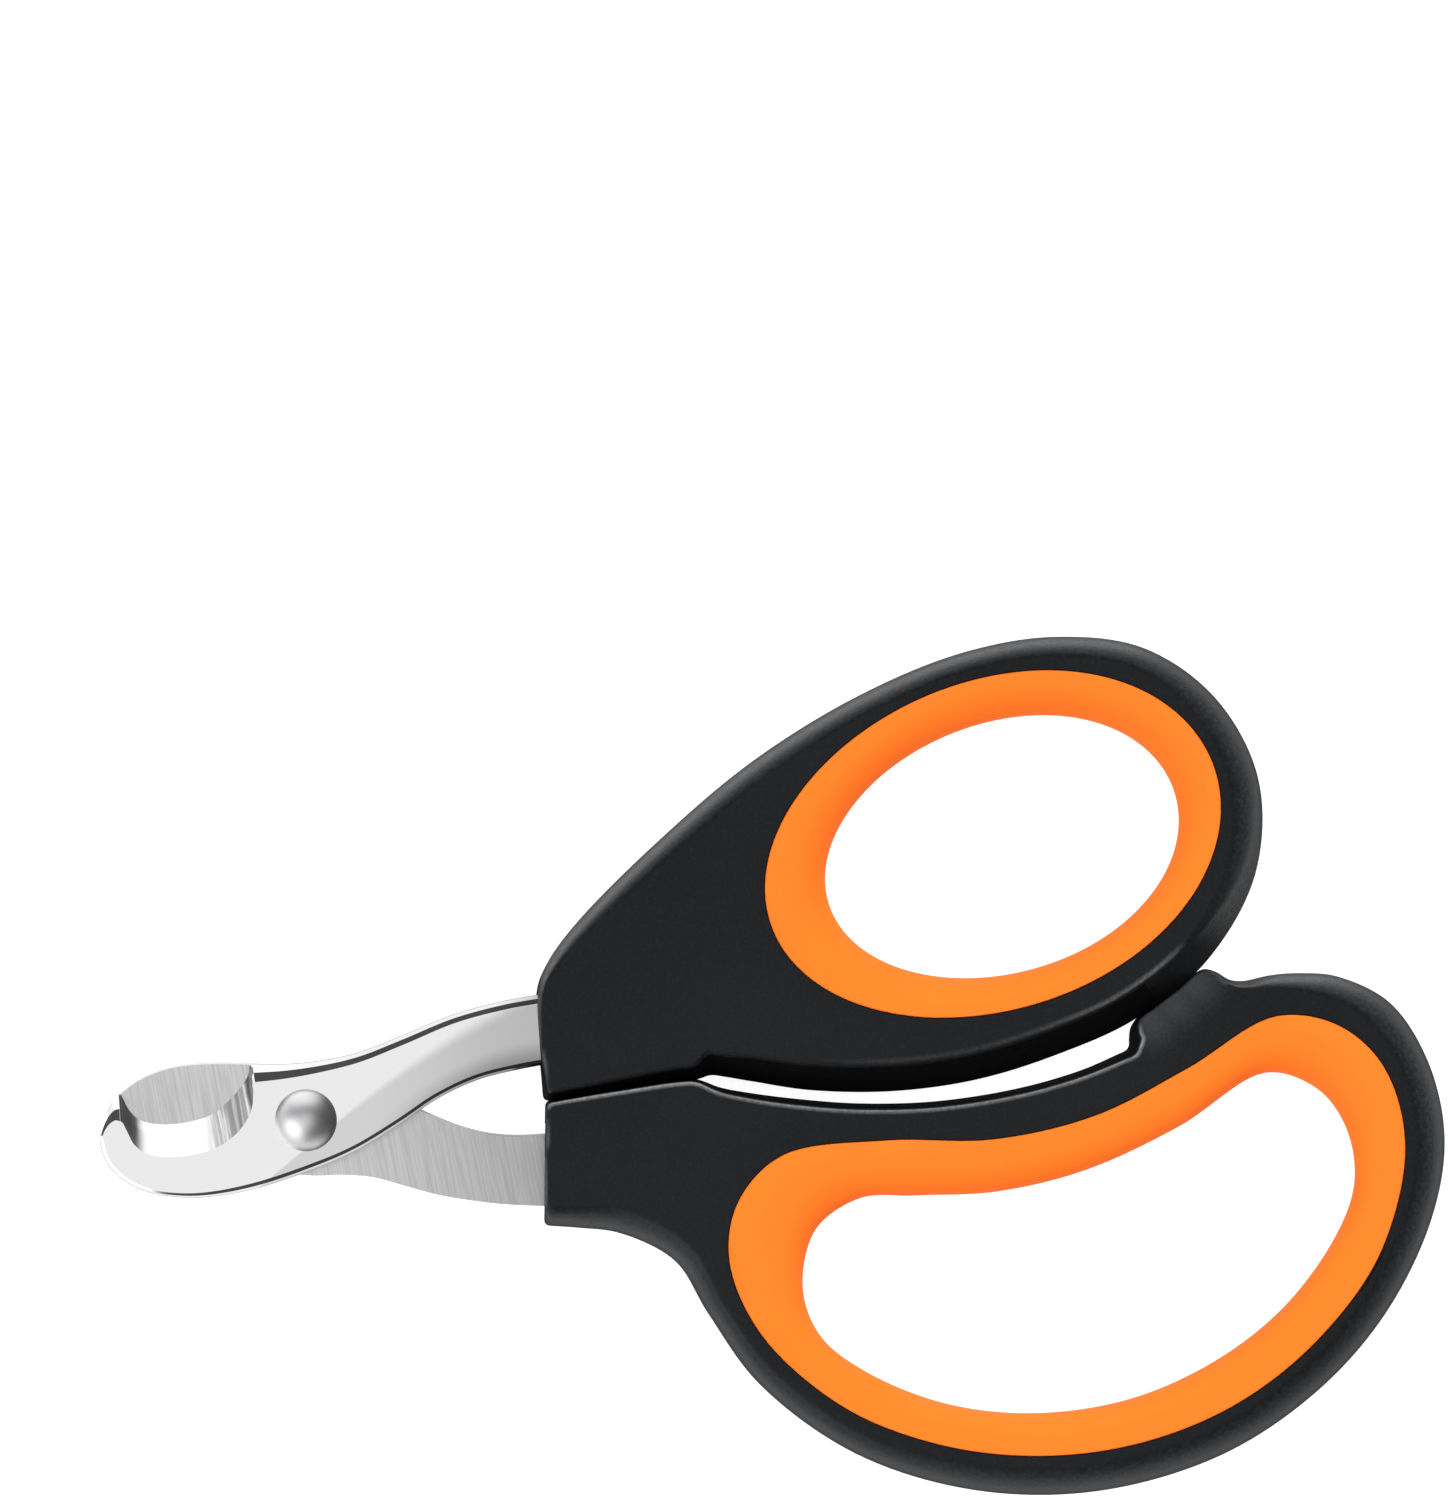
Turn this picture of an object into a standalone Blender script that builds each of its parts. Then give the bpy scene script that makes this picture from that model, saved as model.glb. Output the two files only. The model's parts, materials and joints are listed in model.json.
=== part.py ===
"""Pet nail trimmer, closed and lying flat: jaws at -X, handles at +X, thumb loop at +Y.

Two steel blades cross on a screwed pivot and meet in one plane, half-way up. The tang of
each blade is clamped between the two half shells of a handle, and a soft insert lines each
handle's opening, held by a tongue that the two shells trap. The origin is the middle of the
object's footprint, on the surface that it lies on.

Outlines are drawn in millimetres around the pivot's axis. An outline is a list of stretches,
and each stretch starts at a corner and runs smoothly to the next stretch's first point.
"""
import math

import bmesh
import bpy
from mathutils import Matrix, Vector

MM = 0.001

# Driving sizes, in millimetres.
THICKNESS = 9.6  # of both handles, face to face
TIP_REACH = 20.1  # pivot to the jaws' tip
BACK_REACH = 109.9  # pivot to the far end of the finger loop
THUMB_REACH = 40.5  # pivot line to the top of the thumb loop
FINGER_REACH = 42.65  # pivot line to the bottom of the finger loop
BLADE = 2.0  # thickness of each blade
EDGE_BEVEL = 0.4  # how far a blade's outer face stands back from its mating edge
BLADE_GAP = 0.1  # running clearance between the blades
PIVOT_GAP = 0.1  # clearance around and under the pivot's pieces
TOUCH = 0.3  # clearance between pieces that touch
BARREL_RADIUS = 1.9  # the sleeve nut's barrel
SHANK_RADIUS = 1.1  # the pivot screw's shank
DOME_RADIUS = 3.0
DOME_HEIGHT = 1.9
SCREW_HEAD_RADIUS = 3.1
SCREW_HEAD_HEIGHT = 1.3
POCKET_GAP = 0.3  # around a tang in its handle
PIN_RADIUS = 1.8  # the moulded pin that runs through a tang
TONGUE_REACH = 1.2  # how far an insert's tongue runs into the shells
TONGUE_HALF = 1.0  # half of the tongue's thickness
SPLINE_STEPS = 3  # points per span of an outline
ROUND_SIDES = 48

MIDDLE = THICKNESS / 2
PIVOT = Vector(((TIP_REACH - BACK_REACH) / 2, (FINGER_REACH - THUMB_REACH) / 2, 0)) * MM

# Handle outlines at the parting plane: x, y and how far the flat face stands back from there.
THUMB_HANDLE = [
    [(23.15, 0.2, 0.6), (23.25, 5.0, 0.6)],
    [(23.5, 10.5, 0.8), (27.5, 16.2, 1.2), (36.5, 24.1, 1.4), (46.3, 31.0, 1.5),
     (57.1, 36.4, 1.5), (67.5, 39.65, 1.5), (76.6, 40.4, 1.7), (85.0, 38.5, 2.2),
     (91.5, 33.0, 2.7), (94.9, 24.9, 2.9), (93.8, 15.8, 2.9), (88.4, 7.9, 2.8),
     (81.0, 2.9, 2.8), (72.9, 0.0, 2.8), (65.0, -1.7, 2.8), (56.9, -2.1, 2.8),
     (48.9, -1.3, 2.8), (43.5, 0.0, 2.7), (41.0, 0.7, 2.4)],
    [(39.4, 1.1, 2.0)],
    [(38.1, 1.0, 1.5), (36.5, 0.95, 1.4), (30.0, 0.55, 1.0)],
]
FINGER_HANDLE = [
    [(22.1, -12.2, 0.6), (22.75, -5.0, 0.5)],
    [(23.25, -0.2, 0.4), (30.0, 0.2, 0.4), (36.5, 0.6, 0.4), (38.1, 0.5, 0.4),
     (40.3, -0.4, 0.5), (47.1, -2.0, 0.6), (53.5, -3.05, 0.6), (61.0, -3.5, 0.6),
     (69.0, -2.95, 0.6), (75.2, -1.75, 0.6)],
    [(80.1, -0.15, 0.9)],
    [(80.3, 1.8, 1.2), (81.3, 2.6, 0.9), (84.3, 4.3, 0.7)],
    [(87.4, 6.55, 0.5), (89.1, 6.5, 0.6), (90.4, 5.75, 0.8), (92.0, 5.55, 1.0),
     (94.4, 5.8, 1.3), (97.3, 5.8, 1.6), (100.9, 5.1, 2.0), (105.7, 2.2, 2.3),
     (108.9, -3.8, 2.3), (109.9, -11.4, 2.3), (107.9, -19.1, 2.3), (102.6, -27.9, 2.3),
     (95.2, -34.9, 2.3), (85.5, -40.15, 2.3), (73.3, -42.6, 2.3), (61.4, -41.4, 2.3),
     (50.3, -36.9, 2.2), (41.6, -29.4, 2.1), (37.2, -22.1, 2.0), (34.5, -16.8, 1.8),
     (29.4, -13.6, 1.4), (25.3, -12.7, 1.0)],
]

# Thumb opening: centre x and y, half length, half width, tilt in degrees.
THUMB_SEAT = (68.6, 20.7, 22.8, 15.9, 15.0)
THUMB_OPENING = (69.5, 20.4, 17.6, 12.1, 13.2)
EGG = 0.03  # the thumb opening's far end is this much fuller than its near end
THUMB_STATIONS = 60

# Finger opening: a point on the insert's outer edge and the point of its hole across from it.
FINGER_OPENING = [
    (94.6, 1.9, 93.0, -3.55), (100.6, 0.4, 97.8, -5.4), (104.6, -4.1, 100.3, -9.2),
    (105.9, -11.9, 100.8, -14.6), (102.8, -21.5, 98.3, -20.2), (96.3, -29.3, 92.8, -26.4),
    (87.9, -35.0, 85.7, -31.0), (78.3, -38.1, 77.3, -33.9), (68.2, -38.6, 68.2, -34.5),
    (58.3, -36.6, 59.7, -32.9), (49.2, -32.0, 52.2, -29.2), (42.2, -24.6, 47.7, -24.9),
    (39.7, -17.3, 46.6, -19.9), (41.1, -11.4, 48.3, -14.9), (45.9, -7.3, 52.6, -12.3),
    (55.9, -6.8, 58.3, -12.45), (66.1, -7.6, 66.2, -12.75), (76.1, -6.2, 75.0, -11.4),
    (85.5, -2.4, 84.3, -8.0),
]

# Blade outlines in the mating plane. Two more values place the outer face's point by hand,
# where the steel is ground back behind a cutting edge or a tip.
THUMB_BLADE = [
    [(-17.8, 4.3, -17.75, 1.45), (-19.0, 2.9, -18.5, 1.5), (-19.8, 1.3, -19.3, 0.9),
     (-20.1, -0.2), (-19.7, -2.2), (-18.3, -4.1), (-15.9, -5.6), (-13.0, -6.35),
     (-10.0, -6.6), (-5.5, -6.2), (0.0, -4.9), (4.5, -3.4), (9.0, -1.2), (13.0, 1.0),
     (17.0, 2.45), (21.0, 3.1), (26.0, 3.6), (32.0, 4.7)],
    [(41.0, 7.2)],
    [(39.6, 13.4), (32.0, 11.5), (26.0, 10.4), (20.0, 9.85), (15.0, 8.95), (10.0, 7.4),
     (5.5, 6.1), (2.0, 5.65), (-1.5, 5.6)],
    [(-5.0, 5.9, -4.9, 5.3), (-5.2, 4.9, -4.85, 3.2), (-5.9, 3.9, -5.2, 1.4),
     (-7.2, 2.6, -6.6, -0.5), (-9.2, 1.3, -8.9, -1.9), (-12.3, 0.75, -12.3, -2.45),
     (-15.0, 1.3, -15.6, -1.5), (-16.8, 2.2, -17.2, 0.6)],
]
FINGER_BLADE = [
    [(-18.7, -2.5, -18.9, -1.2), (-16.5, -1.2, -17.0, 0.8), (-13.5, -0.6, -13.5, 1.6),
     (-10.5, -0.9, -10.2, 1.3), (-8.2, -2.1, -7.4, -0.4), (-4.0, -4.4), (0.0, -5.4),
     (3.0, -5.6), (6.0, -6.1), (9.0, -7.2), (12.0, -8.3), (15.0, -9.1), (19.0, -9.9),
     (26.0, -10.6), (32.0, -10.5)],
    [(37.0, -9.8)],
    [(37.0, -3.4), (30.0, -3.2), (20.0, -3.2), (16.0, -2.3), (11.8, -0.3), (9.0, 1.5),
     (5.0, 4.0), (1.0, 5.2), (-2.5, 5.6), (-6.0, 6.1), (-10.0, 6.4), (-13.2, 6.2),
     (-16.2, 5.2), (-18.6, 3.4), (-19.9, 0.9)],
    [(-19.9, -1.6)],
]

# Pockets for the tangs: the two ends of a round-ended slot's middle line, and its width.
THUMB_POCKET = ((15.0, 5.6), (38.8, 10.4), 8.6)
FINGER_POCKET = ((10.0, -6.9), (34.4, -6.8), 9.0)
THUMB_TANG_HOLE = (34.5, 9.3)
FINGER_TANG_HOLE = (30.0, -6.9)


# ---- outlines ----

def spline(rows, steps, closed=False):
    """Centripetal Catmull-Rom curve through rows, with steps points per span."""
    rows = [Vector(row) for row in rows]
    if closed:
        rows = [rows[-1]] + rows + rows[:2]
    else:
        rows = [2 * rows[0] - rows[1]] + rows + [2 * rows[-1] - rows[-2]]
    points = []
    for before, start, end, after in zip(rows, rows[1:], rows[2:], rows[3:]):
        t1 = math.sqrt((start - before).length)
        t2 = t1 + math.sqrt((end - start).length)
        t3 = t2 + math.sqrt((after - end).length)
        for step in range(steps):
            t = t1 + (t2 - t1) * step / steps
            a1 = before.lerp(start, t / t1)
            a2 = start.lerp(end, (t - t1) / (t2 - t1))
            a3 = end.lerp(after, (t - t2) / (t3 - t2))
            b1 = a1.lerp(a2, t / t2)
            b2 = a2.lerp(a3, (t - t1) / (t3 - t1))
            points.append(b1.lerp(b2, (t - t1) / (t2 - t1)))
    if not closed:
        points.append(rows[-2])
    return points


def inward(before, here, after):
    """Mitred inward direction at a point of a clockwise loop, for a unit offset."""
    first = (here - before).normalized()
    second = (after - here).normalized()
    first_normal = Vector((first.y, -first.x))
    second_normal = Vector((second.y, -second.x))
    return (first_normal + second_normal) / (1 + first_normal.dot(second_normal))


def is_clockwise(loop):
    following = loop[1:] + loop[:1]
    return sum(a.x * b.y - b.x * a.y for a, b in zip(loop, following)) < 0


def offset(loop, distance):
    """A closed loop moved inwards by distance, or outwards if it is negative."""
    side = 1 if is_clockwise(loop) else -1
    count = len(loop)
    return [here + inward(loop[i - 1], here, loop[(i + 1) % count]) * distance * side
            for i, here in enumerate(loop)]


def two_levels(stretches, bevel=0.0):
    """Rows (x, y, face x, face y) from rows that give the face's place in any of three ways."""
    rows = [row for stretch in stretches for row in stretch]
    loop = [Vector(row[:2]) for row in rows]
    side = 1 if is_clockwise(loop) else -1
    count = len(rows)
    done = []
    for i, row in enumerate(rows):
        if len(row) == 4:
            done.append(row)
            continue
        depth = row[2] if len(row) == 3 else bevel
        face = loop[i] + inward(loop[i - 1], loop[i], loop[(i + 1) % count]) * depth * side
        done.append((row[0], row[1], face.x, face.y))
    paired = []
    for stretch in stretches:
        paired.append(done[:len(stretch)])
        done = done[len(stretch):]
    return paired


def outline(stretches, bevel=0.0, corner=0.5, steps=SPLINE_STEPS):
    """Smooth loop of (x, y, face x, face y) with its corners cut back by corner."""
    stretches = two_levels(stretches, bevel)
    loop = []
    for i, stretch in enumerate(stretches):
        rows = [Vector(row) for row in stretch]
        rows.append(Vector(stretches[(i + 1) % len(stretches)][0]))
        rows[0] = moved_along(rows[0], rows[1], corner)
        rows[-1] = moved_along(rows[-1], rows[-2], corner)
        loop += spline(rows, steps)
    return loop


def moved_along(row, other, distance):
    """Both points of a row moved by distance towards the points of another row."""
    low = Vector(row[:2])
    high = Vector(row[2:])
    low += (Vector(other[:2]) - low).normalized() * distance
    high += (Vector(other[2:]) - high).normalized() * distance
    return Vector((low.x, low.y, high.x, high.y))


def egg(shape, steps):
    """Ellipse, fuller at its far end, as a clockwise loop."""
    centre_x, centre_y, half_length, half_width, tilt = shape
    cos_tilt = math.cos(math.radians(tilt))
    sin_tilt = math.sin(math.radians(tilt))
    loop = []
    for step in range(steps):
        angle = -2 * math.pi * step / steps
        along = half_length * math.cos(angle)
        across = half_width * math.sin(angle) * (1 + EGG * math.cos(angle))
        loop.append(Vector((centre_x + along * cos_tilt - across * sin_tilt,
                            centre_y + along * sin_tilt + across * cos_tilt)))
    return loop


def slot(start, end, width):
    """Round-ended slot around the line from start to end."""
    start = Vector(start)
    end = Vector(end)
    heading = (end - start).angle_signed(Vector((1, 0)))
    loop = []
    for centre, first_angle in ((end, -90), (start, 90)):
        for step in range(9):
            angle = heading + math.radians(first_angle + 22.5 * step)
            loop.append(centre + Vector((math.cos(angle), math.sin(angle))) * width / 2)
    return loop


# ---- solids ----

def collection(name):
    made = bpy.data.collections.new(name)
    bpy.context.scene.collection.children.link(made)
    return made


def link_mesh(bm, name, target, side=None):
    """Object from a bmesh in pivot millimetres, placed on the pivot or parented to its side."""
    bmesh.ops.recalc_face_normals(bm, faces=bm.faces)
    bmesh.ops.scale(bm, vec=(MM, MM, MM), verts=bm.verts)
    mesh = bpy.data.meshes.new(name)
    bm.to_mesh(mesh)
    bm.free()
    piece = bpy.data.objects.new(name, mesh)
    target.objects.link(piece)
    if side is None:
        piece.location = PIVOT
    else:
        piece.parent = side
    return piece


def loft(levels):
    """Closed bmesh through levels of equal point counts, each a (z, loop) pair."""
    bm = bmesh.new()
    rings = [[bm.verts.new((point[0], point[1], z)) for point in loop] for z, loop in levels]
    for low, high in zip(rings, rings[1:]):
        for i in range(len(low)):
            bm.faces.new((low[i - 1], low[i], high[i], high[i - 1]))
    caps = [bm.faces.new(rings[0]), bm.faces.new(rings[-1])]
    bmesh.ops.triangulate(bm, faces=caps)
    return bm


def as_cutter(piece):
    piece.hide_render = True
    piece.display_type = 'WIRE'
    return piece


def prism(name, loop, start, end):
    """Cutter with one flat outline from start to end."""
    curve = bpy.data.curves.new(name, 'CURVE')
    curve.dimensions = '2D'
    curve.fill_mode = 'BOTH'
    curve.extrude = abs(end - start) / 2
    path = curve.splines.new('POLY')
    path.points.add(len(loop) - 1)
    path.use_cyclic_u = True
    for point, spot in zip(path.points, loop):
        point.co = (spot.x, spot.y, 0, 1)
    drawing = bpy.data.objects.new(name, curve)
    bm = bmesh.new()
    bm.from_mesh(bpy.data.meshes.new_from_object(drawing))
    bpy.data.objects.remove(drawing, do_unlink=True)
    bmesh.ops.remove_doubles(bm, verts=bm.verts, dist=0.0001)
    bmesh.ops.translate(bm, vec=(0, 0, (start + end) / 2), verts=bm.verts)
    return as_cutter(link_mesh(bm, name, cutters))


def cylinder(name, centre, radius, start, end, sides=ROUND_SIDES):
    """Round cutter or pin from start to end."""
    bm = bmesh.new()
    middle = Matrix.Translation((*centre, (start + end) / 2))
    bmesh.ops.create_cone(bm, cap_ends=True, segments=sides, radius1=radius, radius2=radius,
                          depth=abs(end - start), matrix=middle)
    return as_cutter(link_mesh(bm, name, cutters))


def combine(piece, tool, operation):
    boolean = piece.modifiers.new(tool.name, 'BOOLEAN')
    boolean.operation = operation
    boolean.object = tool
    boolean.solver = 'EXACT'


def shade(piece, material, sharp_angle=35):
    piece.data.shade_smooth()
    piece.data.set_sharp_from_angle(angle=math.radians(sharp_angle))
    piece.data.materials.append(material)


def turned(name, profile, target, side=None):
    """Turned solid from (radius, z) points that run down its outer side from the axis."""
    bm = bmesh.new()
    points = [bm.verts.new((radius, 0, z)) for radius, z in profile]
    for start, end in zip(points, points[1:]):
        bm.edges.new((start, end))
    piece = link_mesh(bm, name, target, side)
    screw = piece.modifiers.new("turn", 'SCREW')
    screw.steps = ROUND_SIDES
    screw.render_steps = ROUND_SIDES
    screw.use_merge_vertices = True
    screw.merge_threshold = 0.00001
    return piece


def new_material(name, colour, roughness, metallic):
    material = bpy.data.materials.new(name)
    material.use_nodes = True
    shader = material.node_tree.nodes['Principled BSDF']
    shader.inputs['Base Color'].default_value = (*colour, 1)
    shader.inputs['Roughness'].default_value = roughness
    shader.inputs['Metallic'].default_value = metallic
    return material


def rounded_edge(levels, roundness=2.6):
    """(rise, share of the set-back) from the parting plane up to the flat face."""
    pairs = []
    for level in range(levels + 1):
        angle = math.pi / 2 * level / levels
        rise = math.sin(angle) ** (2 / roundness)
        share = 1 - max(math.cos(angle), 0) ** (2 / roundness)
        pairs.append((rise, share))
    pairs[-1] = (1, 1)
    return pairs


# ---- pieces ----

def blade(name, stretches, up, side, material, hole):
    """Blade whose mating face is on the middle plane and whose outer face looks up or down."""
    loop = outline(stretches, EDGE_BEVEL, corner=0.3)
    mating = MIDDLE + up * BLADE_GAP / 2
    levels = [(mating, [row[:2] for row in loop]),
              (mating + up * BLADE, [row[2:] for row in loop])]
    piece = link_mesh(loft(levels), name, parts, side)
    shade(piece, material, 25)
    bore = cylinder(name + "_bore", (0, 0), BARREL_RADIUS + PIVOT_GAP, -1, THICKNESS + 1)
    combine(piece, bore, 'DIFFERENCE')
    tang_hole = cylinder(name + "_tang_hole", hole, PIN_RADIUS + TOUCH, -1, THICKNESS + 1, 24)
    combine(piece, tang_hole, 'DIFFERENCE')
    return piece


def half_shell(name, stretches, up, side, seat, material):
    """Top (up is 1) or bottom (up is -1) half of a handle, open where the insert sits."""
    loop = outline(stretches, corner=0.6)
    parting = MIDDLE + up * TOUCH / 2
    face = MIDDLE + up * MIDDLE
    levels = []
    for rise, share in rounded_edge(4):
        ring = [Vector(row[:2]).lerp(Vector(row[2:]), share) for row in loop]
        levels.append((parting + (face - parting) * rise, ring))
    piece = link_mesh(loft(levels), name, parts, side)
    shade(piece, material)
    opening = offset(seat, -TOUCH / 2)
    combine(piece, prism(name + "_opening", opening, -1, THICKNESS + 1), 'DIFFERENCE')
    groove = offset(seat, -TONGUE_REACH - TOUCH)
    depth = TONGUE_HALF + TOUCH
    cutter = prism(name + "_groove", groove, MIDDLE - depth, MIDDLE + depth)
    combine(piece, cutter, 'DIFFERENCE')
    return piece


def clamp_tang(holder, keeper, pocket, hole, up):
    """Pocket in the shell that holds the tang, and the other shell's pin through the tang."""
    reach = BLADE_GAP / 2 + BLADE + POCKET_GAP
    far = MIDDLE + up * reach
    near = MIDDLE - up * TOUCH
    combine(holder, prism(holder.name + "_pocket", slot(*pocket), near, far), 'DIFFERENCE')
    socket_end = far + up * 1.2
    socket = cylinder(holder.name + "_socket", hole, PIN_RADIUS + TOUCH, near, socket_end, 24)
    combine(holder, socket, 'DIFFERENCE')
    root = MIDDLE - up * 1.0
    pin_end = socket_end - up * TOUCH
    combine(keeper, cylinder(keeper.name + "_pin", hole, PIN_RADIUS, root, pin_end, 24), 'UNION')


def insert(name, seat, opening, side, material):
    """Soft lining: flush with the faces at its outer edge, and rounded into the hole."""
    wall = offset(seat, TOUCH / 2)
    tongue = offset(seat, -TONGUE_REACH)
    upper = [(1 - share, MIDDLE + MIDDLE * rise)
             for rise, share in reversed(rounded_edge(4, roundness=2.2))]
    lower = [(lean, THICKNESS - z) for lean, z in reversed(upper[:-1])]
    rings = []
    for lean, z in upper + lower:
        rings.append([(a.lerp(b, lean), z) for a, b in zip(wall, opening)])
    for loop, z in ((wall, MIDDLE - TONGUE_HALF), (tongue, MIDDLE - TONGUE_HALF),
                    (tongue, MIDDLE + TONGUE_HALF), (wall, MIDDLE + TONGUE_HALF)):
        rings.append([(point, z) for point in loop])
    bm = bmesh.new()
    verts = [[bm.verts.new((point.x, point.y, z)) for point, z in ring] for ring in rings]
    for ring, following in zip(verts, verts[1:] + verts[:1]):
        for i in range(len(ring)):
            bm.faces.new((ring[i - 1], ring[i], following[i], following[i - 1]))
    piece = link_mesh(bm, name, parts, side)
    shade(piece, material, 50)
    return piece


def pivot_nut(side, material):
    """Sleeve nut: a domed head on the thumb blade and a barrel through both blades."""
    seat = MIDDLE + BLADE_GAP / 2 + BLADE + PIVOT_GAP
    crown = (DOME_RADIUS ** 2 + DOME_HEIGHT ** 2) / (2 * DOME_HEIGHT)
    spread = math.asin(DOME_RADIUS / crown)
    profile = [(0, seat + DOME_HEIGHT)]
    for step in range(1, 7):
        angle = spread * step / 6
        profile.append((crown * math.sin(angle),
                        seat + DOME_HEIGHT - crown * (1 - math.cos(angle))))
    barrel_end = MIDDLE - BLADE_GAP / 2 - BLADE
    profile += [(BARREL_RADIUS, seat), (BARREL_RADIUS, barrel_end), (0, barrel_end)]
    piece = turned("pivot_nut", profile, parts, side)
    shade(piece, material)
    bore = cylinder("nut_bore", (0, 0), SHANK_RADIUS + TOUCH, barrel_end - 1, seat)
    combine(piece, bore, 'DIFFERENCE')
    return piece


def pivot_screw(side, material):
    """Pan-head screw from below, with a cross recess, its shank up inside the nut."""
    seat = MIDDLE - BLADE_GAP / 2 - BLADE - PIVOT_GAP
    shank_end = MIDDLE + BLADE_GAP / 2 + BLADE - 0.5
    base = seat - SCREW_HEAD_HEIGHT
    profile = [(0, shank_end), (SHANK_RADIUS - 0.2, shank_end), (SHANK_RADIUS, shank_end - 0.2),
               (SHANK_RADIUS, seat), (SCREW_HEAD_RADIUS, seat),
               (SCREW_HEAD_RADIUS, seat - 0.5), (SCREW_HEAD_RADIUS - 0.25, base + 0.3),
               (SCREW_HEAD_RADIUS - 0.8, base), (0, base)]
    piece = turned("pivot_screw", profile, parts, side)
    shade(piece, material)
    for name, width_x, width_y in (("recess_x", 3.4, 0.7), ("recess_y", 0.7, 3.4)):
        bm = bmesh.new()
        bmesh.ops.create_cube(bm, size=1, matrix=Matrix.Translation((0, 0, base)))
        bmesh.ops.scale(bm, vec=(width_x, width_y, 1.7), verts=bm.verts,
                        space=Matrix.Translation((0, 0, -base)))
        combine(piece, as_cutter(link_mesh(bm, name, cutters)), 'DIFFERENCE')
    return piece


def pivot_empty(name):
    empty = bpy.data.objects.new(name, None)
    parts.objects.link(empty)
    empty.location = PIVOT
    return empty


for thing in list(bpy.data.objects):
    bpy.data.objects.remove(thing, do_unlink=True)

parts = collection("pet_nail_trimmer")
cutters = collection("cutters")

black_plastic = new_material("black_plastic", (0.016, 0.017, 0.018), 0.45, 0.0)
orange_grip = new_material("orange_grip", (1.0, 0.275, 0.035), 0.5, 0.0)
polished_steel = new_material("polished_steel", (0.80, 0.80, 0.80), 0.18, 1.0)
brushed_steel = new_material("brushed_steel", (0.60, 0.60, 0.60), 0.35, 1.0)

finger_side = pivot_empty("finger_side")
thumb_side = pivot_empty("thumb_side")

thumb_seat = egg(THUMB_SEAT, THUMB_STATIONS)
thumb_hole = egg(THUMB_OPENING, THUMB_STATIONS)
finger_rows = spline(FINGER_OPENING, SPLINE_STEPS, closed=True)
finger_seat = [Vector(row[:2]) for row in finger_rows]
finger_hole = [Vector(row[2:]) for row in finger_rows]

blade("finger_blade", FINGER_BLADE, -1, finger_side, brushed_steel, FINGER_TANG_HOLE)
blade("thumb_blade", THUMB_BLADE, 1, thumb_side, polished_steel, THUMB_TANG_HOLE)
pivot_nut(finger_side, polished_steel)
pivot_screw(finger_side, polished_steel)

thumb_top = half_shell("thumb_handle_top", THUMB_HANDLE, 1, thumb_side, thumb_seat,
                       black_plastic)
thumb_bottom = half_shell("thumb_handle_bottom", THUMB_HANDLE, -1, thumb_side, thumb_seat,
                          black_plastic)
finger_top = half_shell("finger_handle_top", FINGER_HANDLE, 1, finger_side, finger_seat,
                        black_plastic)
finger_bottom = half_shell("finger_handle_bottom", FINGER_HANDLE, -1, finger_side,
                           finger_seat, black_plastic)
clamp_tang(thumb_top, thumb_bottom, THUMB_POCKET, THUMB_TANG_HOLE, 1)
clamp_tang(finger_bottom, finger_top, FINGER_POCKET, FINGER_TANG_HOLE, -1)

insert("thumb_grip_insert", thumb_seat, thumb_hole, thumb_side, orange_grip)
insert("finger_grip_insert", finger_seat, finger_hole, finger_side, orange_grip)
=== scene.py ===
"""Looks of the pet nail trimmer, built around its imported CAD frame.

Every piece is a finer twin of the CAD node that it replaces: nearly the same outline around the
pivot, in millimetres, with rounded edges, close joints, ground and bevelled steel, and moulded
grain.
"""
import json
import math

import bmesh
import bpy
from mathutils import Matrix, Vector


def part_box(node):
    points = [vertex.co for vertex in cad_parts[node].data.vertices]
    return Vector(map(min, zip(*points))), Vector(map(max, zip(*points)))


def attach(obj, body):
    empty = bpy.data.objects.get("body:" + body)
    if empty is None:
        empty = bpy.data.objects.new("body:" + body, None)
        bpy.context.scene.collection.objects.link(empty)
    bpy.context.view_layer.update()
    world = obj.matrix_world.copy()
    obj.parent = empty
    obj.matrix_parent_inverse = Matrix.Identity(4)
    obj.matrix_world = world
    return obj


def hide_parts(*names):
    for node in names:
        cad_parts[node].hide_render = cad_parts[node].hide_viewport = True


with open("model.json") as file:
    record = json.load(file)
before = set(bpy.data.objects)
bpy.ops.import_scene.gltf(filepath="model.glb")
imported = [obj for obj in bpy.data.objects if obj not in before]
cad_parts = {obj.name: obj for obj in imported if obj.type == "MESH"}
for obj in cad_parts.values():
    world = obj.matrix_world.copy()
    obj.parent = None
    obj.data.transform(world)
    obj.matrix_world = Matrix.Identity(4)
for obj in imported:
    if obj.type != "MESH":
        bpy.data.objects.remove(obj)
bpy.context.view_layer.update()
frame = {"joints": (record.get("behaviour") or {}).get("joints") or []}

MM = 0.001
PIVOT = Vector(frame["joints"][0]["pos_m"]).xy.to_3d()

# Heights in millimetres, from the frame.
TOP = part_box("thumb_handle_top")[1].z / MM
MIDDLE = TOP / 2
THUMB_BLADE_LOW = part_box("thumb_blade")[0].z / MM
THUMB_BLADE_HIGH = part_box("thumb_blade")[1].z / MM
FINGER_BLADE_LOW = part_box("finger_blade")[0].z / MM
FINGER_BLADE_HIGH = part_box("finger_blade")[1].z / MM
NUT_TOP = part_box("pivot_nut")[1].z / MM
SCREW_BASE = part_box("pivot_screw")[0].z / MM

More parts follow.
